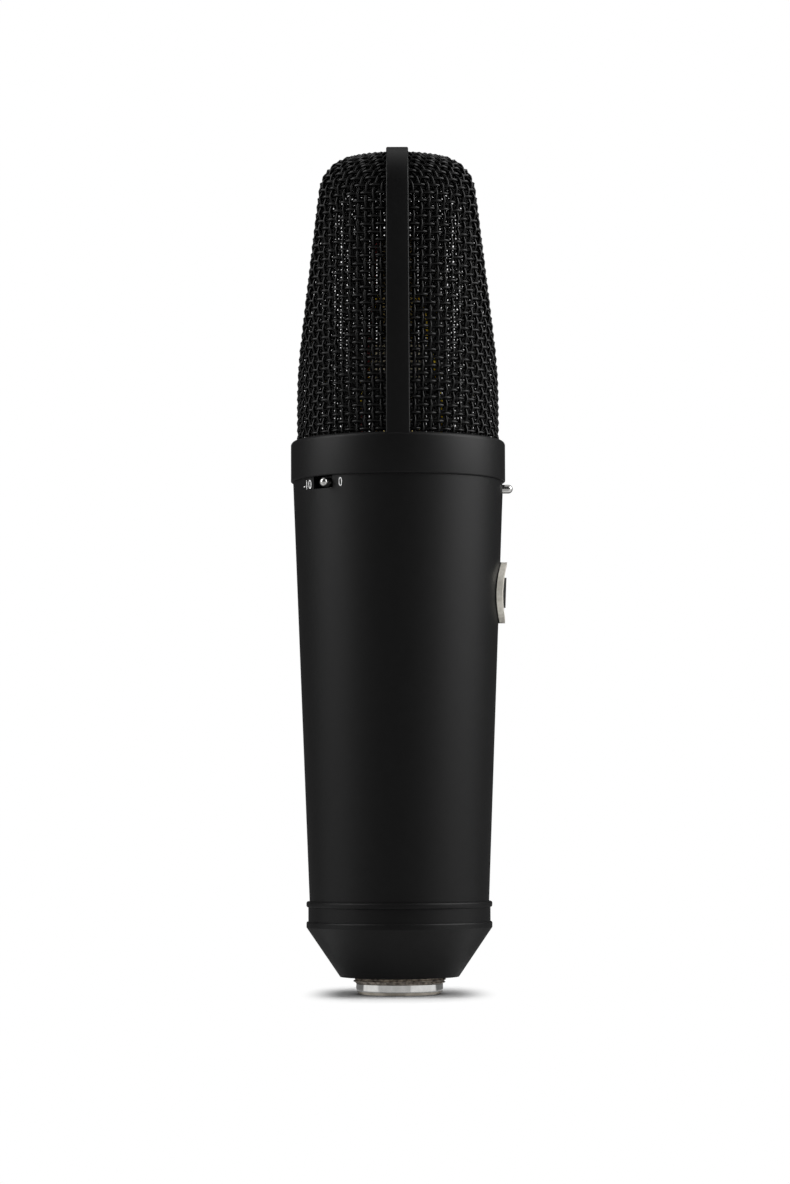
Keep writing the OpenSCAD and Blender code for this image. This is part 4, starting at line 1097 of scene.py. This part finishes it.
def pale_floor():
    """A pale floor that takes the lamps' shadow and a painted contact shadow near the microphone, and shows
    as white farther away.
    """
    colour = (0.93, 0.93, 0.93)
    mat, shader = new_finish("pale_floor", colour, 0.9, specular=0.0)
    tree = mat.node_tree
    # Ambient occlusion paints shade into the floor's colour close to the microphone: a painted contact
    # shadow.
    painted_contact_shadow = tree.nodes.new("ShaderNodeAmbientOcclusion")
    painted_contact_shadow.samples = 8
    painted_contact_shadow.inputs["Distance"].default_value = 40 * MM
    painted_contact_shadow.inputs["Color"].default_value = (*colour, 1)
    tree.links.new(painted_contact_shadow.outputs["Color"], shader.inputs["Base Color"])
    place = own_place(tree)
    from_camera, bounced = ray_kinds(tree)
    white = tree.nodes.new("ShaderNodeEmission")
    strength = math_step(tree, "MAXIMUM", mirrored_level(tree, place), from_camera)
    tree.links.new(strength, white.inputs["Strength"])
    seen = math_step(tree, "MULTIPLY", from_camera, beyond_shadow(tree, place))
    mirrored = math_step(tree, "MULTIPLY", bounced, mirrored_share(tree, place))
    shown = math_step(tree, "MAXIMUM", seen, mirrored)
    mix_surface(tree, "Material Output", shown, shader.outputs["BSDF"], white.outputs["Emission"])
    return mat


class MICROPHONE_OT_stage(bpy.types.Operator):
    """Sets the pale floor, the softboxes and the camera"""

    bl_idname = "microphone.stage"
    bl_label = "Stage"
    lens = 106.84
    sensor_w = 36
    camera_place = (-952.55 * MM, 0.93 * MM, 48.99 * MM)
    camera_pitch = math.radians(3.582)
    camera_roll = math.radians(0.177)
    floor_half = 6.0
    foot = (0, 0, 0)
    collar = (0, 0, 0.15)

    def execute(self, context):
        scene = context.scene
        scene.world = pale_world()
        mesh = bpy.data.meshes.new("floor")
        half = self.floor_half
        corners = [(-half, -half, 0), (half, -half, 0), (half, half, 0), (-half, half, 0)]
        mesh.from_pydata(corners, [], [(0, 1, 2, 3)])
        mesh.materials.append(pale_floor())
        floor = bpy.data.objects.new("floor", mesh)
        scene.collection.objects.link(floor)
        add_softbox("overhead_softbox", (0.3, 0, 1.45), self.foot, width=1.4, height=1.4, power=4.5)
        add_softbox("left_softbox", (-0.11, 0.5, 0.42), self.collar, width=0.4, height=0.55, power=3.1)
        add_softbox("right_softbox", (-0.09, -0.5, 0.42), self.collar, width=0.52, height=0.55, power=5.4)
        camera = bpy.data.objects.new("camera", bpy.data.cameras.new("camera"))
        camera.data.lens = self.lens
        camera.data.sensor_width = self.sensor_w
        camera.data.clip_start = 0.01
        sin, cos = math.sin(self.camera_pitch), math.cos(self.camera_pitch)
        facing = Matrix(((0, -sin, -cos), (-1, 0, 0), (0, cos, -sin)))
        turned = facing @ Matrix.Rotation(-self.camera_roll, 3, "Z")
        camera.matrix_world = Matrix.Translation(self.camera_place) @ turned.to_4x4()
        scene.collection.objects.link(camera)
        scene.camera = camera
        scene.view_settings.view_transform = "Standard"
        return {"FINISHED"}


class MICROPHONE_PT_parts(bpy.types.Panel):
    """Lists what is made for the microphone"""

    bl_idname = "MICROPHONE_PT_parts"
    bl_label = "Microphone"
    bl_space_type = "VIEW_3D"
    bl_region_type = "UI"
    bl_category = "Microphone"

    def draw(self, context):
        for group in ("microphone_head", "microphone_boss", "microphone_colours"):
            sizes = getattr(context.scene, group)
            for name in sizes.__annotations__:
                self.layout.prop(sizes, name)
        for maker in MAKERS:
            self.layout.operator(maker.bl_idname)


GROUPS = {"microphone_head": HeadSizes, "microphone_boss": BossSizes, "microphone_colours": FinishColours}
MAKERS = (
    MICROPHONE_OT_stage,
    MICROPHONE_OT_shells,
    MICROPHONE_OT_strap,
    MICROPHONE_OT_outer_mesh,
    MICROPHONE_OT_fine_mesh,
    MICROPHONE_OT_boss,
    MICROPHONE_OT_connector,
    MICROPHONE_OT_badge,
    MICROPHONE_OT_switches,
    MICROPHONE_OT_marks,
    MICROPHONE_OT_capsule,
    MICROPHONE_OT_leads,
    MICROPHONE_OT_chassis,
)


def register():
    for group in GROUPS.values():
        bpy.utils.register_class(group)
    for name, group in GROUPS.items():
        setattr(bpy.types.Scene, name, PointerProperty(type=group))
    for maker in MAKERS:
        bpy.utils.register_class(maker)
    bpy.utils.register_class(MICROPHONE_PT_parts)


def unregister():
    bpy.utils.unregister_class(MICROPHONE_PT_parts)
    for maker in reversed(MAKERS):
        bpy.utils.unregister_class(maker)
    for name, group in GROUPS.items():
        delattr(bpy.types.Scene, name)
        bpy.utils.unregister_class(group)


def main():
    register()
    bpy.ops.microphone.stage()
    bpy.ops.microphone.shells()
    bpy.ops.microphone.strap()
    bpy.ops.microphone.outer_mesh()
    bpy.ops.microphone.fine_mesh()
    bpy.ops.microphone.boss()
    bpy.ops.microphone.connector()
    bpy.ops.microphone.badge()
    bpy.ops.microphone.switches()
    bpy.ops.microphone.marks()
    bpy.ops.microphone.capsule()
    bpy.ops.microphone.leads()
    bpy.ops.microphone.chassis()


if __name__ == "__main__":
    main()
